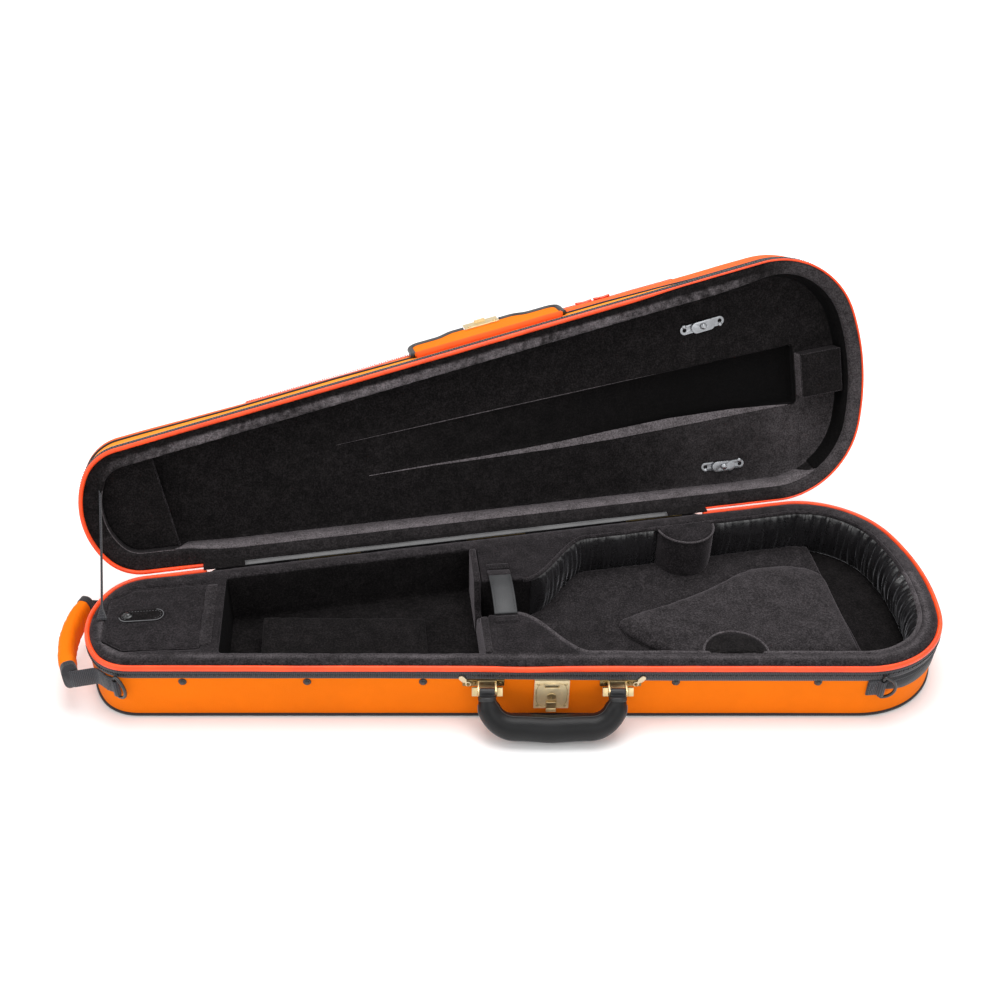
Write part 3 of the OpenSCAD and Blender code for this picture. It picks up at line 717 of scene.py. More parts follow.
def bowl(name, profile, shift, matrix=None):
    """A solid whose side section is swept round the outline, and whose first and last rings are
    filled in flat."""
    distances = whole_outline()
    rows, columns = len(distances), len(profile)
    verts = []
    for d in distances:
        p, n = at(d)
        for i, (inset, z) in enumerate(profile):
            d_inset, d_z = shift(d, i)
            verts.append((*(p - n*(inset + d_inset)), z + d_z))
    faces = grid_faces(rows, columns, close_rows=True)
    faces.append(tuple(row*columns for row in range(rows)))
    faces.append(tuple(row*columns + columns - 1 for row in range(rows)))
    return make_piece(name, verts, faces, None, matrix)


def wander(d, size, seed):
    """Smooth noise along the outline, from about -1 to 1."""
    return noise.noise(Vector((d/size, seed, 0.5*seed)))


def round_section(inset, z, radius, sides=12):
    return [(inset + radius*math.cos(2*math.pi*i/sides), z + radius*math.sin(2*math.pi*i/sides))
            for i in range(sides)]


def hinge_free(name, profile, shift=None, matrix=None, taper=0.0,
               ends=(HINGE_S0, HINGE_S1)):
    """A section swept round all of the outline but the hinge stretch."""
    distances = path_between(back_at(ends[0]), back_at(ends[1]) + TURN, 3)
    if not taper:
        return sweep(name, distances, profile, False, shift, matrix)
    centre = np.mean(profile, axis=0)

    def rounded(d, i):
        d_inset, d_z = shift(d, i) if shift else (0, 0)
        end = min(d - distances[0], distances[-1] - d)
        if end >= taper:
            return d_inset, d_z
        scale = math.sqrt(max(0.02, 1 - (1 - end/taper)**2)) - 1
        away = np.array(profile[i]) - centre
        return d_inset + scale*away[0], d_z + scale*away[1]

    close = np.array([0.0, 0.25*taper, 0.55*taper, 0.8*taper])
    distances = np.concatenate([distances[0] + close, distances[1:-1], distances[-1] - close[::-1]])
    return sweep(name, np.sort(distances), profile, False, rounded, matrix)


def piping(name, z, wide, tall, body, node, seed, matrix=None):
    """Corded edging with a little waviness."""
    def waver(d, i):
        near_handle = math.exp(-((d - front_at(HANDLE_S) + 25)/32)**2)*(body == "base")
        buried = tucked_edge(d) if body == "lid" else 0
        away_x, away_z = section[i][0] - PIPING, section[i][1] - z
        return (0.15*wander(d, 55, seed) - buried*(0.85 + 0.5*away_x),
                0.22*wander(d, 45, seed + 3) - 1.3*near_handle - 0.45*buried*away_z)

    section = [(PIPING + wide*x, z + tall*y) for x, y in round_section(0, 0, 1, 16)]
    cord = hinge_free(name, section, waver, matrix, taper=2.4, ends=(CORD_S0, CORD_S1))
    return dress(cord, PIPE, body, [node])


def teeth(name, inset, z, distances, matrix=None, reach=1.5, tall=1.9):
    """A row of interlocked zip teeth, standing in from the outline."""
    verts, faces = [], []
    for index, d in enumerate(distances):
        p, n = at(d)
        along = np.array([-n[1], n[0]])
        lean = 0.45 if index % 2 else -0.45
        for dz in (-tall/2, tall/2):
            for da, di in ((-0.55, 0), (0.55, 0), (0.4, -reach), (-0.4, -reach)):
                shift = lean*dz/tall
                point = p + along*(da + shift) - n*(inset + di)
                verts.append((*point, z + dz))
        o = index*8
        faces += [(o, o + 1, o + 2, o + 3), (o + 4, o + 5, o + 6, o + 7)]
        faces += [(o + k, o + (k + 1) % 4, o + 4 + (k + 1) % 4, o + 4 + k) for k in range(4)]
    return make_piece(name, verts, faces, None, matrix, smooth=False)


# ---- Base: outside ----

def build_base_outside():
    def sag(d, i):
        return (0.25*wander(d, 90, 5)*(2 <= i <= 8), 0)

    cover = bowl("base_cover", [
        (14, 0), (5.2, 0), (3.8, 0.4), (2.9, 1.4), (SHELL, 3.2), (SHELL, 14), (SHELL - 0.3, 30),
        (SHELL, 45), (SHELL, 54.8), (6.4, 54.8), (6.4, 5),
    ], sag)
    dress(cover, ORANGE, "base", ["base_shell"])

    welt = sweep("base_welt", whole_outline(), round_section(2.2, 1.35, 1.3, 10), True)
    dress(welt, WELT, "base", ["base_bottom_welt"])

    piping("base_edge_piping", BASE_PIPING_Z, 2.3, 2.9, "base", "base_piping", 11)

    tape = hinge_free("base_tape", [
        (SHELL, TAPE_Z0), (1.5, TAPE_Z0 + 0.3), (1.1, TAPE_Z0 + 1.2), (1.25, TAPE_Z0 + 2.4),
        (1.2, 51), (0.9, 53.2), (1.4, 54.6), (SHELL, 55.2), (SHELL, 50),
    ], lambda d, i: (0, 0.18*wander(d, 30, 8)*(i < 4) - 2.6*(i < 2)*smoothstep((at(d)[0][0] + 150)/300)))
    dress(tape, WEB, "base", ["base_zipper_tape"])

    pitch = 2.6
    row = np.arange(back_at(HINGE_S0) + 3, back_at(HINGE_S1) + TURN - 3, pitch)
    zip_teeth = teeth("base_zip_teeth", 1.4, 50.2, row, reach=1.0, tall=1.7)
    dress(zip_teeth, BLACK, "base")

    start = TURN - path_to_x(wide_c[0] + 10)
    gusset_path = path_between(start - TURN, path_to_x(wide_c[0] + 10), 3)
    half = gusset_path[-1]

    def slant(d, i):
        end = (half - abs(d))/22
        low = 4.5*(1 - min(1, max(0, end)))
        return (0.12*wander(d, 14, 2)*(1 <= i <= 4), low if i in (0, 1, 6) else 0)

    gusset = sweep("wide_end_black_patch", gusset_path, [
        (SHELL, 27), (1.5, 27.4), (1.35, 33), (1.15, 38.6), (1.6, 39.4), (1.3, TAPE_Z0),
        (SHELL, TAPE_Z0),
    ], False, slant)
    dress(gusset, WELT, "base", ["wide_end_gusset"])

    stitches = tube("gusset_stitches", [
        (*(at(d)[0] - at(d)[1]*1.05), 40.4) for d in gusset_path
    ], 0.22, 6)
    dress(stitches, SEAM, "base")


def path_to_x(x):
    """Distance from the wide end's middle to where the back half's outline passes x."""
    low, high = 0.0, HALF
    for _ in range(40):
        middle = (low + high)/2
        if at(middle)[0][0] > x:
            low = middle
        else:
            high = middle
    return low


# ---- Base: lining and compartments ----

ACC_X0, ACC_X1, ACC_HALF, ACC_CUT = -376.0, -290.0, 44.0, 20.0
NECK_X0, NECK_X1, SLOT_HALF = -273.0, -33.0, 24.0
SHOULDER_FRONT, SHOULDER_BACK = 54.0, 80.0


def accessory_outline(grow):
    """Plan of the accessory compartment, with its two cut corners."""
    x0, x1, half = ACC_X0 - grow, ACC_X1 + grow, ACC_HALF + grow
    side = [(x0 + ACC_CUT, half - 3), (x0, half - ACC_CUT + 2)]
    return [(x1, -half), (x1, half), *side, *[(x, -y) for x, y in side[::-1]]]


def shoulder(x0, x1, inset):
    """S-curve from the neck slot to the side wall."""
    end, count = side_half(x1, inset), 20
    return [(x0 + (x1 - x0)*i/count,
             SLOT_HALF + (end - SLOT_HALF)*(1 - math.cos(math.pi*i/count))/2)
            for i in range(count + 1)]


def violin_outline(inset, slot_x):
    """Plan of the violin's space, anticlockwise from the slot's front corner."""
    front = [(x, -y) for x, y in shoulder(-8, SHOULDER_FRONT, inset)]
    back = shoulder(6, SHOULDER_BACK, inset)
    d0 = TURN - path_to_x(SHOULDER_FRONT + 4) - TURN
    wide = inset_points(path_between(d0, path_to_x(SHOULDER_BACK + 4)), inset)
    return [(slot_x, -SLOT_HALF), *front, *wide, *back[::-1], (slot_x, SLOT_HALF)]


def neck_outline(inset=CAVITY):
    x0, x1 = NECK_X0, NECK_X1
    y0, y1 = side_half(x0, inset), side_half(x1, inset)
    return [(x0, -y0), (x1, -y1), (x1, y1), (x0, y0)]


def roll_edge(piece, top, reach, drop):
    """Rolls the ledge's outer strip off towards the piping, and lets it undulate."""
    points = coords(piece)
    near = np.abs(points[:, 2] - top) < 9
    inside = inset_of(points[near][:, :2])
    t = np.clip(1 - (inside - 3.5)/reach, 0, 1)
    wave = plan_noise(points[near], 38, 4)
    height = -drop*t**2 + 0.5*wave*(inside < 40)
    depth = np.clip(1 - np.abs(points[near][:, 2] - top)/9, 0, 1)
    moved = points.copy()
    moved[near, 2] += height*depth
    set_coords(piece, moved)


def along_hinge(d):
    """1 along the stretch without piping, 0 elsewhere."""
    near = min(d - back_at(CORD_S1), back_at(CORD_S0) - d)
    return smoothstep(near/10)


def varied(distances, inset_at):
    """Plan points whose inset changes along the outline."""
    return [tuple(p - inset_at(d)*n) for d, (p, n) in ((d, at(d)) for d in distances)]


def build_base_lining():
    ledge = prism("base_lining", varied(whole_outline(3.0), lambda d: 4.4 - 5.6*along_hinge(d)),
                  54.9, LEDGE_Z)
    block = prism("block", inset_points(whole_outline(), 6.7), 5.2, 55.5)
    carve(ledge, [block], "UNION")
    carve(ledge, [
        prism("cut", accessory_outline(0.9), 54.8, 70),
        prism("cut", accessory_outline(-4), FLOOR_Z, 70),
        prism("cut", neck_outline(), FLOOR_Z, 70),
        prism("cut", violin_outline(CAVITY, NECK_X1 - 3), FLOOR_Z, 70),
    ])
    soften(ledge, 1.9, 5)
    roll_edge(ledge, LEDGE_Z, 9, 3.2)

    # Painted light on the ledge's top: a lit ridge along the front side and paler towards the wide end, with
    # faint random mottling.
    def lean(p):
        inset = inset_of(p[:, :2])
        fine = plan_noise(p, 5, 3)
        wide = plan_noise(p, 50, 5)
        top = (p[:, 2] > 57)*(inset < 19.5)
        front = (p[:, 1] < 0)*np.exp(-((inset - 15)/2.6)**2)*(0.30 + 0.3*wide)
        end = np.clip((p[:, 0] - 300)/60, 0, 1)*np.clip(p[:, 1]/60 + 1.2, 0, 1)*(0.14 + 0.1*wide)
        return top*(front + end*np.clip((inset - 5)/4, 0, 1) + 0.10*fine + 0.05)

    paint_velvet_light(ledge, lean)
    dress(ledge, VELVET, "base", ["base_foam", "base_ledge_pad"])
    # Painted shade: faces below the ledge take the darker velvet, and the upright wall at the narrow end that
    # faces the wide end takes the darkest, as painted shadow.
    ledge.data.materials.append(VELVET_DARK)
    ledge.data.materials.append(VELVET_SHADOW)
    for face in ledge.data.polygons:
        if face.center.z < (LEDGE_Z - 3)*MM:
            face.material_index = 2 if face.normal.x > 0.6 and face.center.x < -0.25 else 1

    # Roll along the top of the violin space's wall, in the paler velvet as painted light, with more painted
    # light on its front half
    rim = violin_outline(CAVITY + 1.2, -8)[1:-1]
    roll = tube("cavity_roll", [
        (x, y, LEDGE_Z - 1.7 + 0.5*noise.noise(Vector((x/20, y/20, 7)))) for x, y in smooth_path(rim, 4)
    ], 2.1, 10)
    paint_velvet_light(roll, lambda p: 0.4*(p[:, 1] < 0))
    dress(roll, VELVET_PALE, "base")


def smooth_path(points, step):
    """Points evenly spaced along a plan polyline."""
    points = np.array(points, float)
    lengths = np.concatenate([[0], np.cumsum(np.linalg.norm(np.diff(points, axis=0), axis=1))])
    where = np.linspace(0, lengths[-1], int(lengths[-1]/step))
    return [(np.interp(w, lengths, points[:, 0]), np.interp(w, lengths, points[:, 1])) for w in where]


def build_neck_compartment():
    wall = side_half(NECK_X1 - 8, CAVITY)
    boards = []
    for name, x, thick, profile in (
        ("rear_divider_board", NECK_X1 - 8, 6.5,
         [(wall, 7), (wall, 61), (34, 61.5), (25, 60), (19, 30), (12, 24), (10, 7)]),
        ("front_divider_board", NECK_X1 - 7, 6.8,
         [(-wall, 7), (12, 7), (10, 24), (2, 33), (-13, 40), (-23, 56), (-27, 60), (-wall, 60)]),
    ):
        count = len(profile)
        verts = [(x, y, z) for y, z in profile] + [(x + thick, y, z) for y, z in profile]
        faces = [tuple(range(count)), tuple(range(count, 2*count))]
        faces += [(i, (i + 1) % count, count + (i + 1) % count, count + i) for i in range(count)]
        boards.append(soften(make_piece(name, verts, faces, smooth=False), 1.3, 4))
    dress(boards[0], VELVET_PALE, "base", ["neck_divider"])
    dress(boards[1], VELVET_PALE, "base")

    low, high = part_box("neck_support_block")
    low, high = Vector(low)/MM, Vector(high)/MM
    wedge_top = [(low.x, high.z), (high.x, high.z - 14)]
    verts = []
    for x, z in wedge_top:
        front = -side_half(x, CAVITY)
        verts += [(x, front, 6), (x, high.y, 6), (x, high.y, z), (x, front, z)]
    faces = [(0, 1, 2, 3), (4, 5, 6, 7), (0, 1, 5, 4), (1, 2, 6, 5), (2, 3, 7, 6), (3, 0, 4, 7)]
    wedge = soften(make_piece("scroll_support", verts, faces, smooth=False), 1.8, 6)
    ripple(wedge, 30, 0.6, 3)
    # Painted shade: the scroll support and the compartment's floor are in the darker velvet.
    dress(wedge, VELVET_DARK, "base", ["neck_support_block"])

    floor = prism("neck_floor", neck_outline(CAVITY - 0.5), 5.4, 7.2)
    dress(soften(floor, 2.0, 3), VELVET_DARK, "base")


def cushion_outline():
    """Waist-shaped plan of the raised pad, open towards the wide end."""
    back = [(95, 0), (101, 5), (123, 14), (152, 25), (190, 41), (206, 49), (222, 59), (238, 67),
            (254, 70.5), (280, 71), (300, 67), (315, 58), (320, 44)]
    front = [(319, -60), (300, -66), (214, -71), (150, -60), (118, -37), (99, -16)]
    return smooth_path([*back, *front, back[0]], 3.0)[:-1]


def build_violin_space():
    floor = prism("violin_floor", violin_outline(CAVITY - 0.5, NECK_X1 - 3), 5.4, 7.6)
    # Painted shade: the floor is in the darker velvet.
    dress(soften(floor, 2.0, 3), VELVET_DARK, "base")

    low_pad_plan = [(x, y) for x, y in violin_outline(CAVITY + 1.5, -8) if 8 < x < 322]
    low_pad = prism("lower_body_cushion", low_pad_plan, 7.2, 13.5)
    soften(low_pad, 2.0, 8)
    points = coords(low_pad)
    inside = np.clip((inset_of(points[:, :2]) - CAVITY)/45, 0, 1)
    points[:, 2] += (points[:, 2] > 9)*(3.0*(1 - inside))
    set_coords(low_pad, points)
    ripple(low_pad, 34, 0.7, 9)
    # Painted light: the pads on the floor are in the paler velvet.
    dress(low_pad, VELVET_PALE, "base", ["floor_cushion"])

    raised = puff(prism("raised_body_pad", cushion_outline(), 11.5, 21), 2.5, 3.0, 4.0)
    ripple(raised, 40, 0.6, 5)
    # More painted light on the raised pad.
    paint_velvet_light(raised, 0.10)
    dress(raised, VELVET_PALE, "base", ["raised_body_cushion"])

    for name, node, side, top in (("rear_waist_pad", "rear_waist_post", 1, 59.5),
                                  ("front_waist_pad", "front_waist_post", -1, 60.4)):
        low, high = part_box(node)
        middle_x = (low.x + high.x)/2/MM
        middle_y = side*95.5
        profile = [(0, top + 1.2), (12, top + 1.0), (22, top + 0.2), (27.4, top - 1.2),
                   (28.9, top - 2.6), (28.3, top - 3.6), (29.3, top - 6), (29.6, 40), (29.2, 20),
                   (28.2, 10), (24, 8), (0, 8)]
        pad = turned(name, profile, (middle_x, middle_y, 0), 64)
        room = prism("room", inset_points(whole_outline(), CAVITY - 0.2), 0, 80)
        carve(pad, [room], "INTERSECT")
        ripple(soften(pad, 1.5, 3), 22, 0.5, side)
        # Painted shade: the front pad is in the darker velvet.
        dress(pad, VELVET_DARK if side < 0 else VELVET, "base", [node])
        rim = [(middle_x + 29.0*math.cos(a), middle_y + 29.0*math.sin(a), top - 1.9)
               for a in np.linspace(side*math.pi/2, side*math.pi/2 + 2*math.pi, 90)]
        rim = [p for p in rim if side*p[1] < side_half(p[0], CAVITY)]
        seam = tube(name + "_seam", rim, 1.0, 8)
        # Painted light: the seam round the pad's top is in the paler velvet and lightened further.
        paint_velvet_light(seam, 0.45)
        dress(seam, VELVET_PALE, "base")


def turned(name, profile, origin, sides=48, matrix=None):
    """A solid of revolution about an upright axis; profile is (radius, z) from top to bottom."""
    verts = []
    for i in range(sides):
        a = 2*math.pi*i/sides
        for r, z in profile:
            r = max(r, 0.01)
            verts.append((origin[0] + r*math.cos(a), origin[1] + r*math.sin(a), origin[2] + z))
    faces = grid_faces(sides, len(profile), close_rows=True)
    count = len(profile)
    faces.append(tuple(i*count for i in range(sides)))
    faces.append(tuple(i*count + count - 1 for i in range(sides)))
    return make_piece(name, verts, faces, None, matrix)


def build_satin_padding():
    """Gathered satin along the wall of the violin's space, in two lengths either side of the post."""
    stretches = {
        "satin_pad_bout": ([(x, y) for x, y in shoulder(6, SHOULDER_BACK, CAVITY) if x > 12]
                           + inset_points(path_between(path_to_x(84), path_to_x(158)), CAVITY)),
        "satin_pad_wide_end": inset_points(
            path_between(path_to_x(204), -path_to_x(70), 1.6), CAVITY),
    }
    for name, plan in stretches.items():
        plan = smooth_path(plan, 1.1)
        count, rows = len(plan), 25
        verts, length = [], 0.0
        for i, (x, y) in enumerate(plan):
            ahead = plan[min(i + 1, count - 1)]
            behind = plan[max(i - 1, 0)]
            tangent = np.array([ahead[0] - behind[0], ahead[1] - behind[1]])
            tangent /= np.linalg.norm(tangent)
            inward = pick_inward(x, y, np.array([tangent[1], -tangent[0]]))
            length += 1.1
            ends = min(1, length/14, (count*1.1 - length)/14)
            front_side = y < 0 and x < 310
            fullness = (3.2 if front_side else 6.0 + 5.0*math.exp(-((y + 15)/50)**2)*(x > 330))
            for j in range(rows):
                v = j/(rows - 1)
                angle = math.pi*(1 - v)
                bulge = math.sin(angle)**0.55
                z = 8.0 + 50.6*v
                fold = gather(length, v, name)
                deep = 1.25 + 1.1*smoothstep((x - 250)/90)
                depth = ends*(fullness*bulge*(0.75 + 0.35*v) + deep*fold*bulge) + 0.2
                verts.append((x + inward[0]*depth, y + inward[1]*depth, z + 0.5*fold*v))
            verts.append((x - inward[0]*1.5, y - inward[1]*1.5, 58.2))
            verts.append((x - inward[0]*1.5, y - inward[1]*1.5, 8.2))
        columns = rows + 2
        faces = grid_faces(count, columns, close_columns=True)
        faces += end_caps(count, columns)
        pad = make_piece(name, verts, faces)
        replaced = ["satin_side_padding"] if name == "satin_pad_bout" else []
        dress(pad, SATIN, "base", replaced)


def pick_inward(x, y, normal):
    """The one of two normals that points into the violin's space."""
    middle = np.array([min(max(x, 90), 290), 0.0])
    return normal if (middle - [x, y]) @ normal > 0 else -normal


def gather(length, v, name):
    """Height of the gathers: uneven upright folds that fade towards the middle of the band."""
    seed = 3.0 if name == "satin_pad_bout" else 8.0
    bend = 2.2*noise.noise(Vector((length/26, v*1.6, seed)))
    first = noise.noise(Vector(((length + bend)/4.6, v*0.9, seed + 5)))
    second = noise.noise(Vector(((length - bend)/2.2, v*1.3, seed + 9)))
    edge = 0.5 + 0.8*abs(2*v - 1)**1.5
    return edge*(2.3*first + 0.8*second)


# ---- Straps, stitches and frames for the fittings ----

def corner_frame(wide, degrees, z):
    """Frame on a front corner, at an angle from -y towards the narrow end."""
    normal_a = math.pi/2 + math.radians(degrees)
    if wide:
        d = LENGTHS[0] + WIDE_CORNER*(normal_a - WIDE_ANGLE)
    else:
        d = SIDE_START + LENGTHS[2] + NARROW_CORNER*(normal_a - math.pi/2 - SIDE_A)
    return frame_at(TURN - d, z)


def smoothstep(t):
    t = min(1.0, max(0.0, t))
    return t*t*(3 - 2*t)


def along(points, step):
    """Points evenly spaced along a 3D polyline."""
    points = np.array([tuple(p) for p in points], float)
    lengths = np.concatenate([[0], np.cumsum(np.linalg.norm(np.diff(points, axis=0), axis=1))])
    where = np.linspace(0, lengths[-1], max(2, int(lengths[-1]/step)))
    return [Vector([np.interp(w, lengths, points[:, k]) for k in range(3)]) for w in where]


def band(name, points, across, width, thick, matrix=None):
    """A flat strap along points; across is the direction of its width."""
    half, t = width/2, thick/2
    e = min(0.35*thick, 0.5)
    section = [(-half, e - t), (-half, t - e), (e - half, t), (half - e, t),
               (half, t - e), (half, e - t), (half - e, -t), (e - half, -t)]
    points = [Vector(p) for p in points]
    across = Vector(across).normalized()
    verts, uvs, length = [], [], 0.0
    for i, p in enumerate(points):
        ahead, behind = points[min(i + 1, len(points) - 1)], points[max(i - 1, 0)]
        normal = (ahead - behind).cross(across).normalized()
        if i:
            length += (p - points[i - 1]).length
        for a, b in section:
            verts.append(p + across*a + normal*b)
            uvs.append((length, a + (2*width if b < 0 else 0)))
    faces = grid_faces(len(points), len(section), close_columns=True)
    faces += end_caps(len(points), len(section))
    return make_piece(name, verts, faces, uvs, matrix)


def stitch_line(name, points, pitch=3.6, dash=2.5, radius=0.3, matrix=None):
    """A row of raised thread dashes along a polyline."""
    verts, faces = [], []
    path = along(points, pitch)
    for p, q in zip(path, path[1:]):
        tangent = (q - p).normalized()
        side = tangent.cross(Vector((0, 0, 1)))
        if side.length < 0.1:
            side = tangent.cross(Vector((0, 1, 0)))
        side.normalize()
        up = tangent.cross(side)
        first = len(verts)
        for place, r in ((0, 0.3), (0.15, 0.9), (0.5, 1), (0.85, 0.9), (1, 0.3)):
            centre = p + tangent*dash*place
            for k in range(6):
                a = math.pi*k/3
                verts.append(centre + radius*r*(math.cos(a)*side + math.sin(a)*up))
        dash_faces = grid_faces(5, 6, close_columns=True) + end_caps(5, 6)
        faces += [tuple(first + i for i in face) for face in dash_faces]
    return make_piece(name, verts, faces, None, matrix)


def paint_velvet_light(piece, lean):
    """Paints light into a velvet's colour, up to 1, or shade, down to -1, as a point attribute.

    lean, the painted light and shade, is one number, or a function of the points in millimetres.
    """
    points = coords(piece)
    values = lean(points) if callable(lean) else np.full(len(points), lean)
    values = np.clip(values, -1, 1).astype(np.float32)
    layer = piece.data.attributes.get("sheen_and_painted_light") or piece.data.attributes.new("sheen_and_painted_light", "FLOAT", "POINT")
    layer.data.foreach_set("value", values)
    return piece


# ---- Accessory compartment lid and neck strap ----

def build_accessory_lid():
    lid = prism("accessory_lid_pad", accessory_outline(-0.3), 55.0, 59.7)
    ripple(soften(lid, 1.2, 3), 26, 0.22, 6)
    dress(lid, VELVET, "accessory_lid", ["accessory_lid"])
    outline = accessory_outline(0.0)
    # Thin cord round the pad's top edge, in the paler velvet as painted light.
    rim = tube("accessory_lid_rim", [
        (x, y, 59.15 + 0.25*noise.noise(Vector((x/9, y/9, 1))))
        for x, y in smooth_path([*outline, outline[0]], 2.2)[:-1]
    ], 0.55, 6, closed=True)
    dress(rim, VELVET_PALE, "accessory_lid")

    tab = [(-345 + x, 3 + y) for x, y in slot_outline(40, 15.5)]
    pull = prism("accessory_pull_tab", tab, 59.6, 61.0)
    bevel_edges(pull, 0.45)
    dress(pull, VELVET_DARK, "accessory_lid", ["accessory_pull"])
    # Grey cord along the tab's lower side and far end only: a painted highlight where the edge catches light.
    edge = [(x, y, 60.75) for x, y in slot_outline(39.2, 14.7, (-345, 3)) if y < 1.5 or x > -333]
    edge.sort(key=lambda p: math.atan2(p[1] - 3.6, p[0] + 345))
    pull_edge_highlight = tube("accessory_pull_painted_highlight", along(edge, 1.2), 0.5, 8)
    dress(pull_edge_highlight, SEAM, "accessory_lid")
    dress(stitch_line("accessory_pull_stitches", [
        (x, y, 61.05) for x, y in slot_outline(35, 10.5, (-345, 3))
    ], 2.4, 1.6, 0.2), SEAM, "accessory_lid")
    stud = turned("accessory_pull_stud", [
        (0, 3.0), (1.5, 2.85), (2.7, 2.2), (3.2, 1.5), (4.0, 1.25), (4.6, 0.9), (4.8, 0.4), (4.6, 0),
        (0, 0),
    ], (-357, 3, 60.9), 40)
    dress(stud, BLACK, "accessory_lid", ["accessory_stud"])

    hinge = band("accessory_hinge_cloth", [
        (ACC_X1 + 5.2, y, 60.35 + 0.2*noise.noise(Vector((y/8, 0, 2)))) for y in np.linspace(-41, 41, 40)
    ], (1, 0, 0), 9.4, 0.7)
    dress(hinge, VELVET_PALE, "base", ["accessory_hinge_tape"])


def slot_outline(length, width, centre=(0, 0), sides=14):
    """Plan of a bar with round ends."""
    r, half = width/2, (length - width)/2
    out = []
    for sign, start in ((1, -90), (-1, 90)):
        for i in range(sides + 1):
            a = math.radians(start + 180*i/sides)
            out.append((centre[0] + sign*half + r*math.cos(a), centre[1] + r*math.sin(a)))
    return out


def bevel_edges(piece, width, segments=3):
    bevel = piece.modifiers.new("edges", "BEVEL")
    bevel.width = width*MM
    bevel.segments = segments
    bevel.limit_method = "ANGLE"
    bevel.angle_limit = math.radians(35)
    apply_modifiers(piece)
    smooth_shade(piece)
    return piece


def build_neck_strap():
    low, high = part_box("neck_strap")
    x, width = (low.x + high.x)/2/MM, (high.x - low.x)/MM
    rise, half = 5.6, 31.0
    arch = [(x, 5 + y, LEDGE_Z + 1.2 + rise*(1 - (y/half)**2)**0.8)
            for y in np.linspace(-half, half, 48)]
    strap = band("neck_strap_leather", arch[:39], (1, 0, 0), width, 1.7)
    dress(strap, STRAP_LEATHER, "neck_strap", ["neck_strap"])
    tail = band("neck_strap_velvet_tail", arch[38:], (1, 0, 0), width, 1.7)
    dress(tail, VELVET, "neck_strap")
    for side in (-1, 1):
        row = [(x + side*(width/2 - 2), y, z + 0.9) for _, y, z in arch[2:37]]
        dress(stitch_line(f"neck_strap_stitches_{side + 1}", row, 3.0, 2.1, 0.25),
              TRIM_LEATHER, "neck_strap")
    for name, y in (("rear", 42.5), ("front", -33.0)):
        patch = [(x, y + t, LEDGE_Z + 0.7 + 0.5*math.cos(t/3)) for t in np.linspace(-4, 4, 9)]
        dress(band(f"neck_strap_patch_{name}", patch, (1, 0, 0), width, 1.2), VELVET,
              "base", ["neck_strap_anchor"] if name == "rear" else [])
        rows = [(x + a, y + b, LEDGE_Z + 1.85)
                for a, b in ((-8, -2.5), (8, -2.5), (8, 2.5), (-8, 2.5), (-8, -2.5))]
        dress(stitch_line(f"neck_strap_patch_stitches_{name}", rows, 2.6, 1.8, 0.22), TRIM_LEATHER,
              "base")


# ---- Front hardware ----

PIVOT_OUT, PIVOT_Z, BRACKET_HALF = 8.0, 39.7, 57.0
GRIP_OUT, GRIP_Z = 26.4, 12.4
KEY_Z, KEY_RIM = 26.5, 3.75
HANDLE_REACH = math.hypot(GRIP_OUT - PIVOT_OUT, PIVOT_Z - GRIP_Z)
HANDLE_TILT = math.degrees(math.atan2(GRIP_OUT - PIVOT_OUT, PIVOT_Z - GRIP_Z))


def handle_frame():
    turn = Matrix.Rotation(math.radians(180 - HANDLE_TILT), 4, "X")
    return front_frame(HANDLE_S, PIVOT_Z, PIVOT_OUT) @ turn


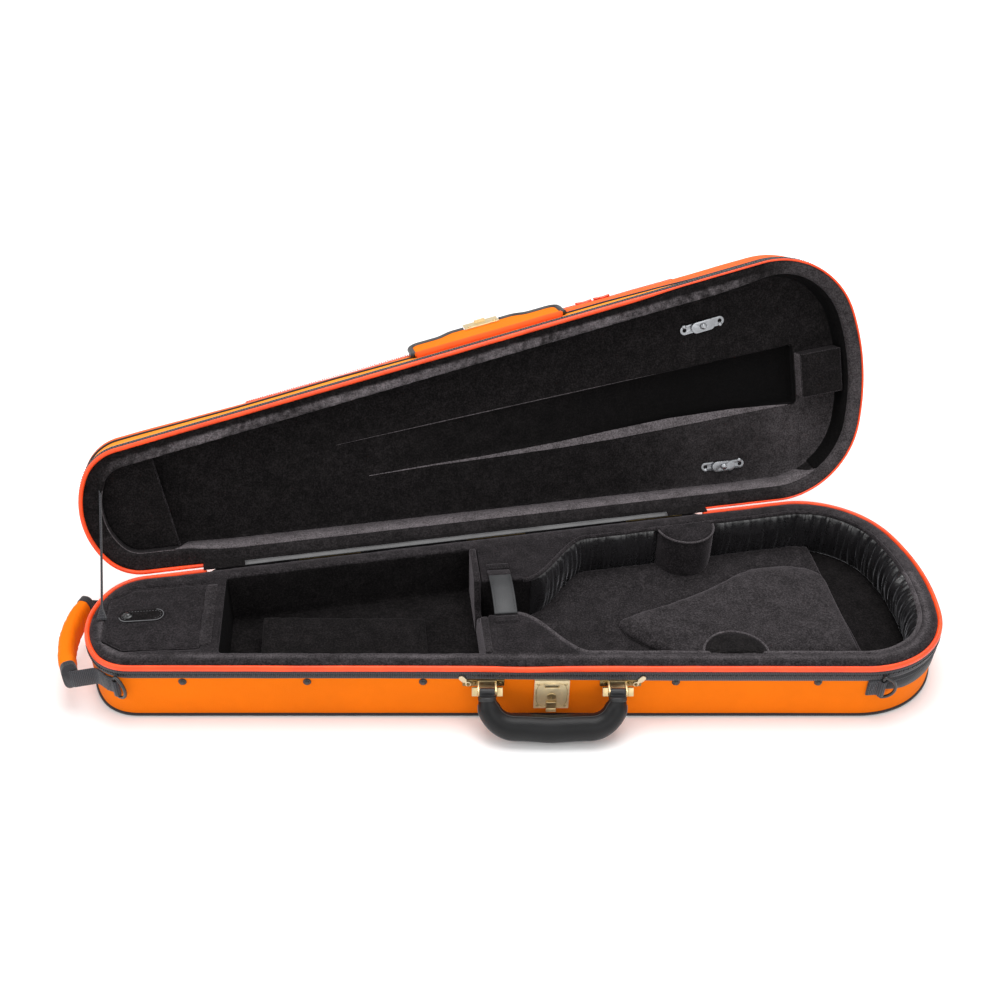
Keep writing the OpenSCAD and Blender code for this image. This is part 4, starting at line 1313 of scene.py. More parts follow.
def build_handle():
    start, bend = 5.4, 25.0
    corner = HANDLE_REACH - bend
    line = [(-BRACKET_HALF, 0, z) for z in np.linspace(start, corner, 4)]
    for i in range(1, 15):
        a = math.pi/2*i/14
        line.append((-BRACKET_HALF + bend*(1 - math.cos(a)), 0, corner + bend*math.sin(a)))
    line += [(x, 0, HANDLE_REACH) for x in np.linspace(-BRACKET_HALF + bend + 3, 0, 12)]
    line += [(-x, y, z) for x, y, z in line[-2::-1]]
    path = along(line, 1.6)
    count = len(path)
    radii, bow = [], []
    for i in range(count):
        t = min(i, count - 1 - i)*1.6
        radii.append(6.8 + 3.4*smoothstep(t/13) + 1.7*smoothstep((t - 14)/28))
        bow.append(2.2*smoothstep((t - 40)/45))
    path = [Vector((p.x, p.y, p.z - 2.0 + b*0.9)) if i not in (0, count - 1) else p
            for i, (p, b) in enumerate(zip(path, bow))]
    grip = tube("handle_grip", path, radii, 28)
    bead = grip.modifiers.new("round", "SUBSURF")
    bead.levels = 1
    apply_modifiers(grip)
    smooth_shade(grip)
    ripple(grip, 16, 0.25, 2)
    carry(grip, handle_frame())
    dress(grip, HANDLE_LEATHER, "handle", ["carry_handle"])

    for name, side in (("outer", -1), ("inner", 1)):
        seam = []
        for i in range(3, count - 3):
            tangent = (path[i + 1] - path[i - 1]).normalized()
            normal = Vector((0, 1, 0))
            inward = tangent.cross(normal)
            if (path[count//2] - path[i]).length < 1e-6:
                inward = Vector((0, 0, -1))
            if inward.dot(Vector((0, 0, 10)) - path[i]) < 0:
                inward = -inward
            direction = (inward*0.86 + normal*side*0.5).normalized()
            seam.append(path[i] + direction*(radii[i] - 0.1))
        piece = tube(f"handle_seam_{name}", seam, 0.5, 8, handle_frame())
        dress(piece, TRIM_LEATHER, "handle")
    welt = []
    for i in range(4, count - 4):
        tangent = (path[i + 1] - path[i - 1]).normalized()
        outward = tangent.cross(Vector((0, 1, 0)))
        if outward.dot(path[i] - Vector((0, 0, 8))) < 0:
            outward = -outward
        welt.append(path[i] + (outward*0.97 + Vector((0, 0.24, 0)))*(radii[i] - 0.15))
    dress(tube("handle_edge_seam", welt, 0.6, 8, handle_frame()), SEAM, "handle")

    for name, side in (("left", -1), ("right", 1)):
        collar = turned(f"handle_collar_{name}", [
            (6.0, 8.4), (7.4, 8.2), (7.9, 7.4), (7.9, 4.8), (7.3, 4.1), (5.5, 3.9), (0, 3.9),
        ], (side*BRACKET_HALF, 0, 0), 36, handle_frame())
        dress(collar, TRIM_LEATHER, "handle")


def build_hardware():
    polished("handle_base_plates", BRONZE, "base", 0.3)
    polished("handle_brackets", GOLD, "base", 0.4)
    polished("handle_end_tabs", TRIM_LEATHER, "handle", 0.5)
    polished("handle_pivot_lugs", GOLD, "handle", 0.8)
    polished("handle_catch_left", CATCH_GOLD, "catch_left", 0.35)
    polished("handle_catch_right", CATCH_GOLD, "catch_right", 0.35)
    polished("lock_plate", LOCK_GOLD, "base", 0.6)
    polished("lock_lever", GOLD, "lock_lever", 0.5)
    polished("lock_cylinder", GOLD, "lock_cylinder", 0.25)

    for name, side in (("left", -1), ("right", 1)):
        heads = []
        for x in (-11.5, 11.2):
            frame_here = front_frame(HANDLE_S + side*(BRACKET_HALF + x), 41.0, -SHELL + 1.3)
            heads.append(rivet("rivet", 1.7, 0.9, frame_here))
        dress(merge(f"handle_plate_rivets_{name}", heads), BRONZE, "base")

    # Raised rim, screws, and a dark piece in the lock plate's slot as its painted shadow
    face = front_frame(HANDLE_S, 0, -SHELL + 3.4)
    heads = [rivet("rivet", 1.5, 0.6, face @ Matrix.Translation((x, 0, z)), 0.8)
             for x in (-12.2, 12.2) for z in (15.5, 41.5)]
    dress(merge("lock_plate_rivets", heads), GOLD, "base")
    slot_back = prism("lock_slot_painted_shadow", slot_outline(12.6, 2.9), 0, 0.4,
                      face @ Matrix.Translation((0, 2.5, 38.2)) @ Matrix.Rotation(math.pi/2, 4, "X"))
    dress(bevel_edges(slot_back, 0.1, 1), DARK, "base")
    ring = [(KEY_RIM*math.cos(a), -0.1, KEY_Z + KEY_RIM*math.sin(a))
            for a in np.linspace(0, 2*math.pi, 40, endpoint=False)]
    dress(tube("lock_key_bezel", ring, 0.4, 10, face, closed=True), GOLD, "base")
    rim = [(x, -0.05, 28.4 + z) for x, z in slot_outline(26.5, 26.5, sides=8)]
    rim = [(max(-13.6, min(13.6, x*1.25)), y, 28.4 + max(-14.2, min(14.2, (z - 28.4)*1.25)))
           for x, y, z in rim]
    dress(tube("lock_plate_rim", rim, 0.35, 8, face, closed=True), GOLD, "base")


def rivet(name, radius, height, matrix, sink=0.0):
    """A domed head standing out from a frame's x-z plane."""
    profile = [(0, height), (0.5*radius, 0.92*height), (0.82*radius, 0.62*height), (radius, 0.15*height),
               (radius, -sink - 0.2), (0, -sink - 0.2)]
    turn = Matrix.Rotation(math.pi/2, 4, "X")
    return turned(name, profile, (0, 0, 0), 24, matrix @ turn)


STUD_S = (-599, -491, -390, -168, -42)


def build_studs():
    caps, collars = [], []
    for s in STUD_S:
        place = front_frame(s, 41.4, -SHELL)
        turn = place @ Matrix.Rotation(math.pi/2, 4, "X")
        caps.append(turned("cap", [
            (0, 2.9), (1.2, 2.8), (2.1, 2.35), (2.45, 1.7), (2.3, 1.1), (0, 1.0),
        ], (0, 0, 0), 28, turn))
        collars.append(turned("collar", [
            (0, 1.6), (2.4, 1.55), (3.2, 1.2), (3.6, 0.6), (3.6, -0.1), (0, -0.1),
        ], (0, 0, 0), 28, turn))
    dress(merge("snap_stud_caps", caps), BLACK, "base", ["snap_studs"])
    dress(merge("snap_stud_collars", collars), BLACK, "base")


# ---- D-rings and end grip ----

RING_R, WIRE_R, RING_REST = 11.5, 1.45, 15.0


def build_d_rings():
    tabs = []
    for name, wide, degrees in (("left", False, 27.0), ("right", True, -1.5)):
        place = corner_frame(wide, degrees, 37.0)
        spin = (place @ Matrix.Translation((4, -0.9, 0))
                @ Matrix.Rotation(math.radians(-RING_REST), 4, "Z"))
        loop = [(0, 0, z) for z in np.linspace(-RING_R + 1.2, RING_R - 1.2, 10)]
        for i in range(33):
            a = math.pi/2 - math.pi*i/32
            loop.append((RING_R*math.cos(a) if i not in (0, 32) else 1.0, 0, RING_R*math.sin(a)))
        ring = tube(f"d_ring_{name}_wire", loop, WIRE_R, 14, spin, closed=True)
        dress(ring, BLACK, f"d_ring_{name}", [f"d_ring_{name}"])

        # Webbing: sewn flat on the case, round the bar and back
        plan = [(-8.6, SHELL - 1.0), (-4, SHELL - 1.15), (0, SHELL - 1.3), (1.6, SHELL - 2.2)]
        wrap = [(4 + 2.5*math.cos(a), -0.9 + 2.5*math.sin(a))
                for a in np.linspace(math.radians(150), math.radians(-190), 26)]
        back = [(0.6, SHELL - 2.0), (-3.5, SHELL - 1.9), (-8.4, SHELL - 1.75)]
        points = [Vector((x, y, 0)) for x, y in [*plan, *wrap, *back]]
        tab = band(f"d_ring_tab_{name}", points, (0, 0, 1), 17.4, 1.1,
                   place @ Matrix.Translation((0, 0, -1.2)))
        tabs.append(tab)
        dress(tab, WEB, "base", ["d_ring_tabs"] if name == "left" else [])
        rows = [(-7.2, -0.15, -8.2), (-0.6, -0.45, -8.2), (-0.6, -0.45, 5.8), (-7.2, -0.15, 5.8),
                (-7.2, -0.15, -8.2), (-0.6, -0.45, 5.8)]
        dress(stitch_line(f"d_ring_stitches_{name}", rows, 2.3, 1.6, 0.24, place), SEAM,
              "base")


GRIP_CX, GRIP_BOW, GRIP_A = -292.0, 120.0, 23.0


def build_end_grip():
    def section(width, tall, sides=28, power=3.0):
        out = []
        for i in range(sides):
            a = 2*math.pi*i/sides
            c, s = math.cos(a), math.sin(a)
            k = (abs(c)**power + abs(s)**power)**(-1/power)
            out.append((width/2*c*k, tall/2*s*k))
        return out

    def swept(name, a0, a1, width, tall, steps, lumps):
        verts, uvs = [], []
        outline = section(width, tall)
        for i in range(steps + 1):
            t = i/steps
            a = math.radians(180 + a0 + (a1 - a0)*t)
            end = min(t, 1 - t)*2
            swell = (0.90 + 0.12*smoothstep(end*3)) if lumps else 1.0
            for j, (r, z) in enumerate(outline):
                w = math.radians(a0 + (a1 - a0)*t)*GRIP_BOW
                dr = lumps*noise.noise(Vector((w/5.5 + z/22, z/30, 3)))*0.75
                dr += lumps*noise.noise(Vector((w/14, z/10, 8)))*0.9
                scale = (GRIP_BOW + r*swell + math.copysign(dr, r))
                verts.append((GRIP_CX + scale*math.cos(a), scale*math.sin(a),
                              38 + z*(0.97 + 0.03*swell) + 0.4*lumps*noise.noise(Vector((w/12, r, 5)))))
                uvs.append((w, r + z))
        faces = grid_faces(steps + 1, len(outline), close_columns=True)
        faces += end_caps(steps + 1, len(outline))
        return make_piece(name, verts, faces, uvs)

    pad = swept("end_grip_pad", -GRIP_A + 1.2, GRIP_A - 1.2, 13.4, 25.5, 110, 1.35)
    dress(pad, ORANGE, "base", ["end_grip"])
    for name, a0, a1 in (("rear", -GRIP_A, -GRIP_A + 3.2), ("front", GRIP_A - 3.2, GRIP_A)):
        bound = swept(f"end_grip_binding_{name}", a0, a1, 14.0, 26.0, 6, 0)
        dress(bound, WELT, "base")

    end = np.array([GRIP_CX - GRIP_BOW*math.cos(math.radians(GRIP_A)),
                    GRIP_BOW*math.sin(math.radians(GRIP_A))])
    for name, side in (("rear", 1), ("front", -1)):
        def on_corner(degrees, out):
            a = math.radians(degrees)
            p = narrow_c + (NARROW_CORNER + out)*np.array([-math.sin(a), math.cos(a)])
            return p
        plan = [on_corner(a, -1.3) for a in np.linspace(38, 49, 6)]
        plan += [on_corner(53, -0.6), on_corner(56, 1.6), end + [1.5, 1.0], end + [-2.2, -0.6]]
        points = along([(x, side*y, 35.5) for x, y in plan], 1.5)
        strap = band(f"end_grip_strap_{name}", points, (0, 0, 1), 19, 1.6)
        dress(strap, WEB, "base", ["end_grip_straps"] if side > 0 else [])
        rows = []
        for degrees, z in ((39, 28), (48, 28), (48, 43), (39, 43), (39, 28), (48, 43)):
            p = on_corner(degrees, -0.35)
            rows.append((p[0], side*p[1], z))
        dress(stitch_line(f"end_grip_stitches_{name}", rows, 2.6, 1.8, 0.28), SEAM,
              "base")


# ---- Zip sliders, hinges, strip and ribbon ----

def back_strip(name, s0, s1, lower, reach):
    """Cloth from the base's ledge to the open lid's, along the hinges."""
    steps, thick = 12, 0.45
    face = [(4.2 - reach*i/steps, 60.3 + 0.5*math.sin(math.pi*i/steps) + 0.9*i/steps - lower)
            for i in range(steps + 1)]
    section = face + [(inset, z - thick) for inset, z in face[::-1]]

    def wave(d, i):
        place = min(i, 2*steps + 1 - i)
        return (0, 0.35*noise.noise(Vector((d/30, place/5, 2))))

    return sweep(name, path_between(back_at(s1), back_at(s0), 4), section, False, wave)


def build_hinges():
    """The butt hinges and the main zip's sliders."""
    for side in ("left", "right"):
        polished(f"zipper_slider_{side}", BLACK, f"zipper_slider_{side}", 0.5)
    polished("hinge_base_leaves", BRONZE, "base", 0.2)
    polished("hinge_lid_leaves", BRONZE, "lid", 0.2)
    polished("hinge_pins", SILVER, "base", 0.2)

    heads = {"base": [], "lid": []}
    for s in (-470, -305, -140):
        for x in (-22, 0, 22):
            place = frame_at(back_at(s + x), 45.0, -SHELL + 1.0)
            heads["base"].append(rivet("screw", 2.0, 0.8, place))
            place = LID_OPEN @ frame_at(back_at(s + x), 74.5, -SHELL + 1.0)
            heads["lid"].append(rivet("screw", 2.0, 0.8, place))
    for body, pieces in heads.items():
        dress(merge(f"hinge_screws_{body}", pieces), BRONZE, body)


def build_hinge_cloth():
    """The satin strip over the hinges and the velvet under it."""
    strip = back_strip("hinge_satin_strip", HINGE_S0 - 18, HINGE_S1 - 50, 0.0, 5.2)
    dress(strip, GREY_SATIN, None, ["hinge_strip"])
    cloth = back_strip("hinge_cloth", CORD_S0 - 3, CORD_S1 + 5, 0.6, 17.0)
    dress(cloth, VELVET_DARK, None)
    p, n = at(back_at(-300))
    for piece in (strip, cloth):
        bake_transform(piece)


def build_stay_ribbon():
    """The ribbon that stays the lid: flat where it is sewn to the base, then turned on edge."""
    start, end = Vector((-379, -2, 60.4)), Vector((-382.6, 98.6, 138.3))
    line = end - start
    across = Vector((1, 0, 0))
    verts, uvs, count = [], [], 46
    normal = line.cross(across).normalized()
    for i in range(count):
        t = i/(count - 1)
        centre = start + line*(0.012 + 0.976*t) - Vector((0, 0, 1))*2.6*math.sin(math.pi*t)
        twist = 1.25 + 0.3*smoothstep(1 - 6*t) - 1.1*smoothstep(1 - t*9)
        wide = 1.75 + 2.9*smoothstep(1 - 7*t)
        side = (across*math.cos(twist) + normal*math.sin(twist)).normalized()
        face = line.cross(side).normalized()
        for a, b in ((-1, -1), (1, -1), (1, 1), (-1, 1)):
            verts.append(centre + side*a*wide + face*b*0.22)
            uvs.append((t*line.length, a*wide))
    faces = grid_faces(count, 4, close_columns=True)
    faces += end_caps(count, 4)
    ribbon = make_piece("lid_stay_ribbon", verts, faces, uvs)
    dress(ribbon, WEB, None, ["stay_ribbon"])
    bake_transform(ribbon)


# ---- Lid ----

POCKET_ZIP_Z = 105.0


def by_x(table):
    """A value that changes along the case, from (x, value) pairs."""
    xs, values = zip(*table)
    return lambda d: float(np.interp(at(d)[0][0], xs, values))


# Height of the seam between the lid's side and its pocket, and how far the pocket's front bulges
pocket_seam = by_x([(-395, 97), (-330, 96), (-235, 89), (-140, 92), (-60, 87), (135, 89), (190, 83),
                    (225, 77), (395, 77)])
pocket_bulge = by_x([(-395, 1.1), (-330, 1.0), (-235, -0.8), (-140, -1.5), (0, -0.8), (60, 0.4),
                     (100, 1.5), (150, 0.6), (210, 0.4), (395, 0.3)])


def build_lid_outside():
    def sag(d, i):
        return (0.2*wander(d, 80, 21)*(3 <= i <= 5), 0)

    cover = sweep("lid_side_cover", whole_outline(), [
        (6.4, 98), (6.4, 71.4), (SHELL, 71.4), (2.2, 73), (2.1, 82), (2.5, 97.6), (3.4, 98.4), (5.6, 98.4),
    ], True, sag, LID_OPEN)
    dress(cover, LID_ORANGE, "lid", ["lid_shell"])

    def slack(d, i):
        seam = pocket_seam(d) - 84
        rise = {2: 1, 3: 1, 4: 0.85, 5: 0.5, 6: 0.2}.get(i, 0)
        out = {4: 0.5, 5: 0.9, 6: 1, 7: 1, 8: 0.8, 9: 0.4}.get(i, 0)
        loose = 0.35*wander(d, 40, 31)*(4 <= i <= 7)
        bulge = pocket_bulge(d) if at(d)[0][1] < 0 else 0.5
        return loose - out*bulge, seam*rise + 0.9*wander(d, 60, 33)*(12 <= i < 15)

    top = bowl("music_pocket_cover", [
        (40, 100.4), (5.8, 100.4), (5.6, 84.0), (1.9, 84.0), (1.75, 86.5), (1.6, 92), (1.5, 99),
        (1.9, 103.6), (3.6, 107.6), (6.4, 110.6), (9.0, 112.4), (10.6, 113.6), (14.5, 115.6),
        (22, 116.7), (31, 117.3), (40, 117.6),
    ], slack, LID_OPEN)
    dress(top, RED_ORANGE, "lid", ["music_pocket"])

    for name, inset, z, r in (("lower", 1.9, 84.0, 1.2), ("upper", 9.2, 112.6, 0.9)):
        def seam(d, i):
            return (0, pocket_seam(d) - 84 if name == "lower" else 0)
        cord = sweep(f"lid_welt_{name}", whole_outline(), round_section(inset, z, r, 10), True,
                     seam, LID_OPEN)
        dress(cord, WELT, "lid", ["lid_welts"] if name == "lower" else [])

    # Red-orange roll at the flap's root: its darker colour is painted shade in the fold.
    root = path_between(front_at(HANDLE_S - FLAP_HALF + 2), front_at(HANDLE_S + FLAP_HALF - 2), 4)
    root = sweep("flap_root", root, [
        (3.0, 79.6), (-0.6, 80.4), (-2.6, 81.0), (-3.6, 82), (-2.6, 83.2), (-0.6, 83.6), (3.0, 84.4),
    ], False, lambda d, i: (0.3*wander(d, 18, 3)*(0 < i < 6), 0), LID_OPEN)
    dress(root, RED_ORANGE, "lid")

    piping("lid_edge_piping", LID_PIPING_Z, 2.0, 1.95, "lid", "lid_piping", 41, LID_OPEN)
    tape = hinge_free("lid_tape", [
        (SHELL, 67.0), (1.35, 66.6), (0.95, 67.4), (1.15, 69), (1.2, 73), (1.1, 74.6), (1.5, 75.4),
        (SHELL, 75.6),
    ], None, LID_OPEN)
    dress(tape, WEB, "lid", ["lid_zipper_tape"])
    row = np.arange(back_at(HINGE_S0) + 3, back_at(HINGE_S1) + TURN - 3, 2.6)
    dress(teeth("lid_zip_teeth", 1.3, 70.4, row, LID_OPEN, reach=0.9, tall=1.7), BLACK, "lid")


def build_pocket_zip():
    """The pocket's zip along the front, with its two sliders."""
    zip_path = path_between(front_at(-520), front_at(-80), 4)

    def zip_bulge(d, i):
        return (-pocket_bulge(d) + 0.35*wander(d, 40, 31), 0)

    for name, z in (("lower", 103.6), ("upper", 106.4)):
        half = sweep(f"pocket_zip_tape_{name}", zip_path, [
            (4.2, z - 1.4), (2.0, z - 1.2), (1.5, z), (2.0, z + 1.2), (4.2, z + 1.4),
        ], False, zip_bulge, LID_OPEN)
        dress(half, RED, "lid", ["pocket_zipper"] if name == "lower" else [])
    row = np.arange(zip_path[0] + 2, zip_path[-1] - 2, 2.2)
    dress(teeth("pocket_zip_teeth", 2.2, POCKET_ZIP_Z, row, LID_OPEN, reach=0.8, tall=2.0), RED,
          "lid")
    for side, s in (("left", -167), ("right", -148)):
        polished(f"pocket_slider_{side}", RED, f"pocket_slider_{side}", 0.5)
        place = LID_OPEN @ front_frame(s, 106.4, 0.2)
        tag = band(f"pocket_pull_{side}", [
            (x, -0.3*math.sin(x/3), 0.4*math.sin(x/4)) for x in np.linspace(-15, 1.5, 14)
        ], (0, 0, 1), 4.4, 1.8, place)
        dress(tag, RED, f"pocket_slider_{side}")


def hollow_inset(d, z):
    """Inset of the lid hollow's wall: upright at the front, sloped at the wide end and the back."""
    x, y = at(d)[0]
    wide = smoothstep((x - 235)/120)
    back = smoothstep((x + 330)/70)*(y > 0)*(1 - wide)
    depth = (z - LID_LINING_Z)/(LID_PANEL_Z - LID_LINING_Z)
    return 21 - wide*6.3*(1 - depth) - back*(6.4 - 4.6*depth)


def frustum(name, lower, upper, z0, z1):
    """A solid between two outlines of as many points."""
    piece = prism(name, lower, z0, z1)
    points = coords(piece)
    points[len(lower):, :2] = upper
    set_coords(piece, points)
    return piece


def tucked(x, y):
    return smoothstep((x - 150)/60) if y < 0 else smoothstep((x + 330)/120)


def tucked_edge(d):
    """1 where the lid's ledge rolls over its piping, 0 where it stops inside it."""
    return tucked(*at(d)[0])


def build_lid_lining():
    panel_z, ring = LID_PANEL_Z, whole_outline(3.0)
    lining = prism("lid_lining", inset_points(ring, 6.5), LID_LINING_Z, 99.8)
    rim = prism("rim", varied(ring, lambda d: 3.0 - 1.3*tucked_edge(d) - 2.5*along_hinge(d)), 66.0, 72.0)
    carve(lining, [rim], "UNION")
    hollow = frustum("hollow", varied(ring, lambda d: hollow_inset(d, 60)),
                     varied(ring, lambda d: hollow_inset(d, panel_z)), 60, panel_z)
    channel_x0, channel_x1, channel_depth = -150, 328, 9.0
    channel = [(channel_x0, -19), (channel_x1, -31), (channel_x1, 31), (channel_x0, 15)]
    cut = prism("cut", channel, panel_z - 2, panel_z)
    points = coords(cut)
    deeper = np.clip((points[:, 0] - channel_x0)/(channel_x1 - channel_x0), 0.015, 1)
    points[:, 2] = np.where(points[:, 2] > panel_z - 1, panel_z + channel_depth*deeper, points[:, 2])
    set_coords(cut, points)
    carve(lining, [hollow, cut])
    soften(lining, 1.8, 3)

    points = coords(lining)
    rim = points[:, 2] < 74
    inside = inset_of(points[rim][:, :2])
    wave = plan_noise(points[rim], 38, 14)
    rolled = np.array([tucked(x, y) for x, y, _ in points[rim]])
    points[rim, 2] -= 0.5*wave*(inside < 24) + 2.6*rolled*np.exp(-(np.maximum(inside - 6, 0)/5)**2)
    set_coords(lining, points)

    # Painted light and shade: a lit band along the front ledge, a paler ledge at the wide end and the back, a
    # lit patch on the panel towards the wide end, and painted shadow in the channel that darkens towards its
    # deep end; the rest is random mottling.
    def lean(p):
        inset = inset_of(p[:, :2])
        rough = np.array([noise.noise(Vector((x/4, y/4, z/4))) for x, y, z in p])
        wide = plan_noise(p, 48, 2)
        front = (p[:, 1] < -20)*np.clip((p[:, 0] + 372)/70, 0, 1)*np.clip((300 - p[:, 0])/60, 0, 1)
        ledge = (p[:, 2] < 73) & (inset < 21.5)
        strip = np.clip((inset - 11.5)/1.5, 0, 1)*ledge*front
        end = ledge*np.clip((p[:, 0] - 290)/50, 0, 1)*0.32
        back = ledge*(p[:, 1] > 20)*0.08
        panel = (p[:, 2] > 86)*np.clip((p[:, 0] - 120)/220, 0, 1)*np.clip(p[:, 1]/60 + 0.5, 0, 1)*0.30
        channel = (p[:, 2] > 88.6)*(np.abs(p[:, 1]) < 34)*np.clip((p[:, 0] + 90)/300, 0, 1)
        soft = (end + back + panel*(channel == 0))*(1 + 0.4*wide)
        return strip*(0.6 + 0.5*rough + 0.5*wide) + soft + 0.06*rough - channel

    paint_velvet_light(lining, lean)
    carry(lining, LID_OPEN)
    # Painted shade: the lid's lining is in the darker velvet.
    dress(lining, VELVET_DARK, "lid", ["lid_foam_ring", "lid_panel"])


def build_lid_edges():
    """Painted light and shade in the lid's hollow: a strip of painted light on the hinge side's wall, a
    painted shadow strip on the wide end's wall, a line of painted light along the hollow's edge at the narrow
    end, and painted light on the channel's slope and edge.
    """
    for name, start, end, tapers, sheen_and_painted_light, material in (
        ("lid_wall_strip", path_to_x(-320), path_to_x(346), (14, 26), 0.95, VELVET_DARK),
        ("lid_wall_shadow", path_to_x(344), -path_to_x(255), (1, 70), 0.0, VELVET_SHADOW),
    ):
        low = 69.4
        section = [(-0.6, low), (0.6, low), (0.6, LID_PANEL_Z), (-0.6, LID_PANEL_Z)]

        def wall(d, i):
            grown = smoothstep((start - d)/tapers[0])*smoothstep((d - end)/tapers[1])
            z = section[i][1]
            raised = low + (z - low)*max(0.06, grown)
            return hollow_inset(d, raised), raised - z

        strip = sweep(name, path_between(start, end, 3), section, False, wall, LID_OPEN)
        paint_velvet_light(strip, sheen_and_painted_light)
        dress(strip, material, "lid")

    edge_path = path_between(path_to_x(-318), TURN - path_to_x(-388), 3)
    line = [(*(at(d)[0] - hollow_inset(d, 67)*at(d)[1]), 66.9) for d in edge_path]
    line = tube("lid_hollow_edge", line, 0.45, 6, LID_OPEN)
    paint_velvet_light(line, 0.75)
    dress(line, VELVET_DARK, "lid")

    slope = [(-123, 18.2, 0.5), (-60, 20.6, 1.4), (0, 24.4, 3.0), (72, 28.6, 6.4), (128, 30.6, 9.4),
             (186, 31.0, 10.4), (256, 31.0, 7.0), (300, 31.2, 2.6), (319, 31.6, 0.5)]
    verts = []
    for x, y, wide in slope:
        verts += [(x, y, 87.7), (x, y - wide, 87.7 + 0.06*wide), (x, y - wide, 88.6), (x, y, 88.4)]
    faces = grid_faces(len(slope), 4, close_columns=True)
    faces += end_caps(len(slope), 4)
    slope = make_piece("lid_channel_slope", verts, faces, None, LID_OPEN, smooth=False)
    paint_velvet_light(slope, 0.95)
    dress(slope, VELVET_DARK, "lid")
    edge = [(x, y, 88.1) for x, y in ((-149, -19), (-40, -22.2), (100, -26), (180, -28))]
    edge = tube("lid_channel_edge", edge, [0.15, 0.5, 0.35, 0.1], 6, LID_OPEN)
    paint_velvet_light(edge, 0.7)
    dress(edge, VELVET_DARK, "lid")


def build_lid_fittings():
    # Panel over the bows' tips, with its seam edge
    plan = [(x, y) for x, y in inset_points(whole_outline(), 20.6) if x < -318]
    plan.sort(key=lambda p: math.atan2(p[1], -p[0] - 330))
    edge_front, edge_back = min(plan, key=lambda p: p[1]), max(plan, key=lambda p: p[1])
    curve = [(-317 + 4*(y/60), y) for y in np.linspace(edge_back[1], edge_front[1], 12)]
    cover = prism("bow_tip_panel", [*[p for p in plan if p[0] < -320], *curve], 76.6, 79.6)
    soften(cover, 1.6, 3)
    carry(cover, LID_OPEN)
    dress(cover, VELVET_DARK, "lid", ["bow_tip_pocket"])
    seam = tube("bow_tip_panel_edge", [(x, y, 77.2) for x, y in curve], 0.8, 8, LID_OPEN)
    dress(seam, VELVET, "lid")

    cushion = prism("lid_end_pad", [(329, -23), (374, -23), (374, 23), (329, 23)], 72.4, 88.2)
    soften(cushion, 1.6, 4)
    points = coords(cushion)
    crown = np.clip(1 - ((points[:, 0] - 351)/23)**2, 0, 1)*np.clip(1 - (points[:, 1]/23)**2, 0, 1)
    points[:, 2] -= 1.4*crown*(points[:, 2] < 78)
    set_coords(cushion, points)
    # Painted light on the pad's face towards the narrow end.
    paint_velvet_light(cushion, lambda p: 0.8*(p[:, 0] < 330.4)*(p[:, 2] < 86))
    carry(cushion, LID_OPEN)
    dress(cushion, VELVET_DARK, "lid", ["lid_end_cushion"])
    corners = [(329.6, -22.6), (373.6, -22.6), (373.6, 22.6), (329.6, 22.6)]
    loop = smooth_path([*corners, corners[0]], 2)[:-1]
    # Seam round the pad in the paler velvet, as painted light.
    dress(tube("lid_end_pad_seam", [(x, y, 72.9) for x, y in loop], 0.5, 6, LID_OPEN, closed=True),
          VELVET_PALE, "lid")

    polished("toggle_plates", SILVER, "lid", 0.3)
    for side, centre, turn in (("upper", (233, -68.5), -SIDE_A), ("lower", (242, 82.5), SIDE_A)):
        polished(f"toggle_{side}", SILVER, f"toggle_{side}", 0.5)
        place = (LID_OPEN @ Matrix.Translation((*centre, LID_PANEL_Z))
                 @ Matrix.Rotation(math.pi, 4, "X") @ Matrix.Rotation(turn, 4, "Z"))
        head = turned(f"toggle_rivet_{side}", [
            (0, 7.6), (1.6, 7.4), (2.7, 6.8), (3.3, 6.0), (3.3, 5.4), (0, 5.4),
        ], (0, 0, 0), 32, place)
        dress(head, SILVER, "lid")
        pins = [turned("pin", [(0, 2.2), (1.3, 2.0), (2.2, 1.4), (2.5, 0.9), (0, 0.9)],
                       (x, 0, 0), 24, place) for x in (-19, 19)]
        dress(merge(f"toggle_screws_{side}", pins), SILVER, "lid")


# ---- Flap and hasp ----

FLAP_HALF, FLAP_SHORT, FLAP_LONG = 76.0, 30.0, 37.0


def flap_outline(grow=0.0, top=0.0):
    half, short, long = FLAP_HALF + grow, FLAP_SHORT + grow, FLAP_LONG + grow
    right = [(half, top), (half, 9 - short)]
    for i in range(1, 6):
        a = math.radians(90*i/6)
        right.append((half - 9 + 9*math.cos(a), 9 - short - 9*math.sin(a)))
    right += [(half - 10, -short), (48, -short)]
    for i in range(1, 6):
        t = i/6
        right.append((48 - 18*t, -short - (long - short)*smoothstep(t)))
    right.append((30, -long))
    return right, [(-x, z) for x, z in right[::-1]]


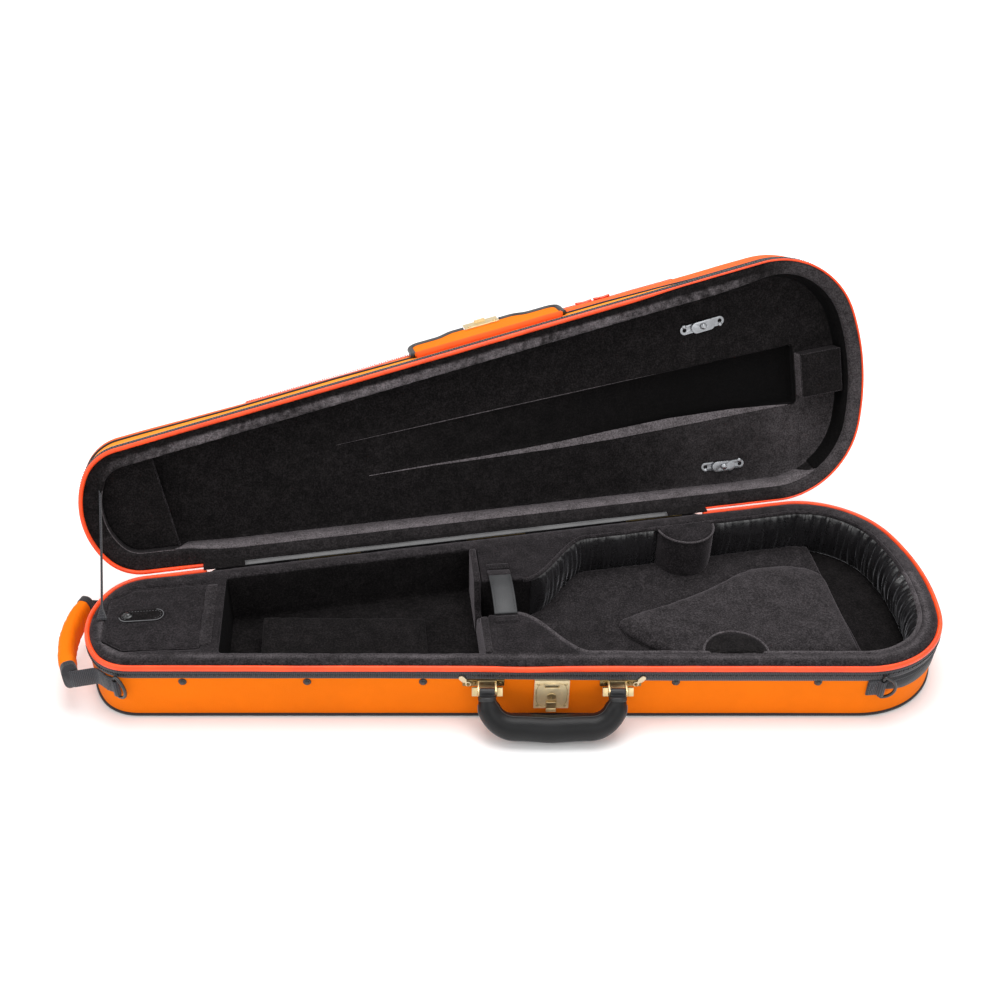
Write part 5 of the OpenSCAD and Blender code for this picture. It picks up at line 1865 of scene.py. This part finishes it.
def build_flap():
    matrix = FLAP_FOLD @ LID_OPEN @ front_frame(HANDLE_S, WELT_Z, 2.0)
    lay = matrix @ Matrix.Rotation(math.pi/2, 4, "X")
    right, left = flap_outline(-0.5, -0.5)
    plate = prism("flap_cover", [*right, *left], 0.5, 2.5, lay)
    soften(plate, 1.1, 3)
    dress(plate, ORANGE, "flap", ["lid_flap"])

    right, left = flap_outline(0.2, -1.0)
    for name, side in (("right", right), ("left", left[::-1])):
        path = along([(x, 0, z) for x, z in side if abs(x) > 17], 1.5)
        path += along([(math.copysign(30, path[-1].x), 0, -FLAP_LONG - 0.2),
                       (math.copysign(18.5, path[-1].x), 0, -FLAP_LONG - 0.2)], 1.5)[1:]
        path = [p + Vector((0, -1.5, 0)) for p in path]
        edge = tube(f"flap_binding_{name}", path, 3.1, 12, matrix, flatten=(1, 0.9))
        dress(edge, TRIM_LEATHER, "flap")
    hinge = band("flap_hinge_fold", [(x, -1.2, -0.3) for x in np.linspace(-FLAP_HALF + 1, FLAP_HALF - 1, 60)],
                 (0, 1, 0), 3.0, 2.6, matrix)
    dress(hinge, ORANGE, "flap")
    polished("hasp_plate", GOLD, "flap", 0.35)
    heads = [rivet("rivet", 1.9, 0.9, matrix @ Matrix.Translation((x, -2.6, z)))
             for x, z in ((-13, -33), (13, -33))]
    dress(merge("hasp_rivets", heads), GOLD, "flap")


# ---- Stage ----

CAMERA_AT = (-0.1291, -0.8324, 0.7737)
CAMERA_AZIMUTH, CAMERA_ELEVATION, CAMERA_ROLL = -7.394, 35.70, 1.334
CAMERA_LENS = 42.47


def build_camera():
    az, el, roll = map(math.radians, (CAMERA_AZIMUTH, CAMERA_ELEVATION, CAMERA_ROLL))
    back = Vector((math.sin(az)*math.cos(el), -math.cos(az)*math.cos(el), math.sin(el)))
    level = Vector((math.cos(az), math.sin(az), 0))
    up = back.cross(level)
    right = level*math.cos(roll) + up*math.sin(roll)
    top = up*math.cos(roll) - level*math.sin(roll)
    data = bpy.data.cameras.new("camera")
    data.lens = CAMERA_LENS
    data.sensor_width = 36.0
    data.clip_start = 0.01
    camera = bpy.data.objects.new("camera", data)
    bpy.context.scene.collection.objects.link(camera)
    turn = Matrix((right, top, back)).transposed()
    camera.matrix_world = Matrix.Translation(CAMERA_AT) @ turn.to_4x4()
    bpy.context.scene.camera = camera


def softbox(name, place, aim, size, power):
    data = bpy.data.lights.new(name, "AREA")
    data.shape = "RECTANGLE"
    data.size, data.size_y = size
    data.energy = power
    lamp = bpy.data.objects.new(name, data)
    bpy.context.scene.collection.objects.link(lamp)
    lamp.location = place
    lamp.rotation_euler = (Vector(aim) - Vector(place)).to_track_quat("-Z", "Y").to_euler()


def build_stage():
    floor = make_piece("floor", [(-6000, -6000, -0.4), (6000, -6000, -0.4), (6000, 6000, -0.4),
                                 (-6000, 6000, -0.4)], [(0, 1, 2, 3)], smooth=False)
    pale = Nodes("pale_floor", 0.9)
    pale.colour(pale.ramp(pale.noise(pale.place(), 3), [(0, (0.93, 0.93, 0.93)), (1, (0.96, 0.96, 0.96))]))
    floor.data.materials.append(pale.material)

    world = bpy.data.worlds.new("studio")
    world.use_nodes = True
    world.node_tree.nodes["Background"].inputs["Color"].default_value = (1, 1, 1, 1)
    world.node_tree.nodes["Background"].inputs["Strength"].default_value = 0.8
    bpy.context.scene.world = world
    bpy.context.scene.view_settings.view_transform = "Standard"

    softbox("top_light", (0.1, 0.35, 2.0), (0, 0, 0), (1.6, 1.2), 30)
    softbox("front_light", (0.5, -1.9, 1.3), (0, 0, 0.05), (1.4, 1.0), 7)
    softbox("left_light", (-1.9, -0.5, 1.2), (-0.1, 0, 0.05), (1.0, 1.0), 7)
    softbox("far_floor_light", (0.2, 3.0, 2.2), (0.2, 3.0, 0), (4.0, 1.6), 40)


build_base_outside()
build_base_lining()
build_neck_compartment()
build_violin_space()
build_satin_padding()
build_accessory_lid()
build_neck_strap()
build_handle()
build_hardware()
build_studs()
build_d_rings()
build_end_grip()
build_hinges()
build_hinge_cloth()
build_stay_ribbon()
build_lid_outside()
build_pocket_zip()
build_lid_lining()
build_lid_edges()
build_lid_fittings()
build_flap()
build_stage()
build_camera()
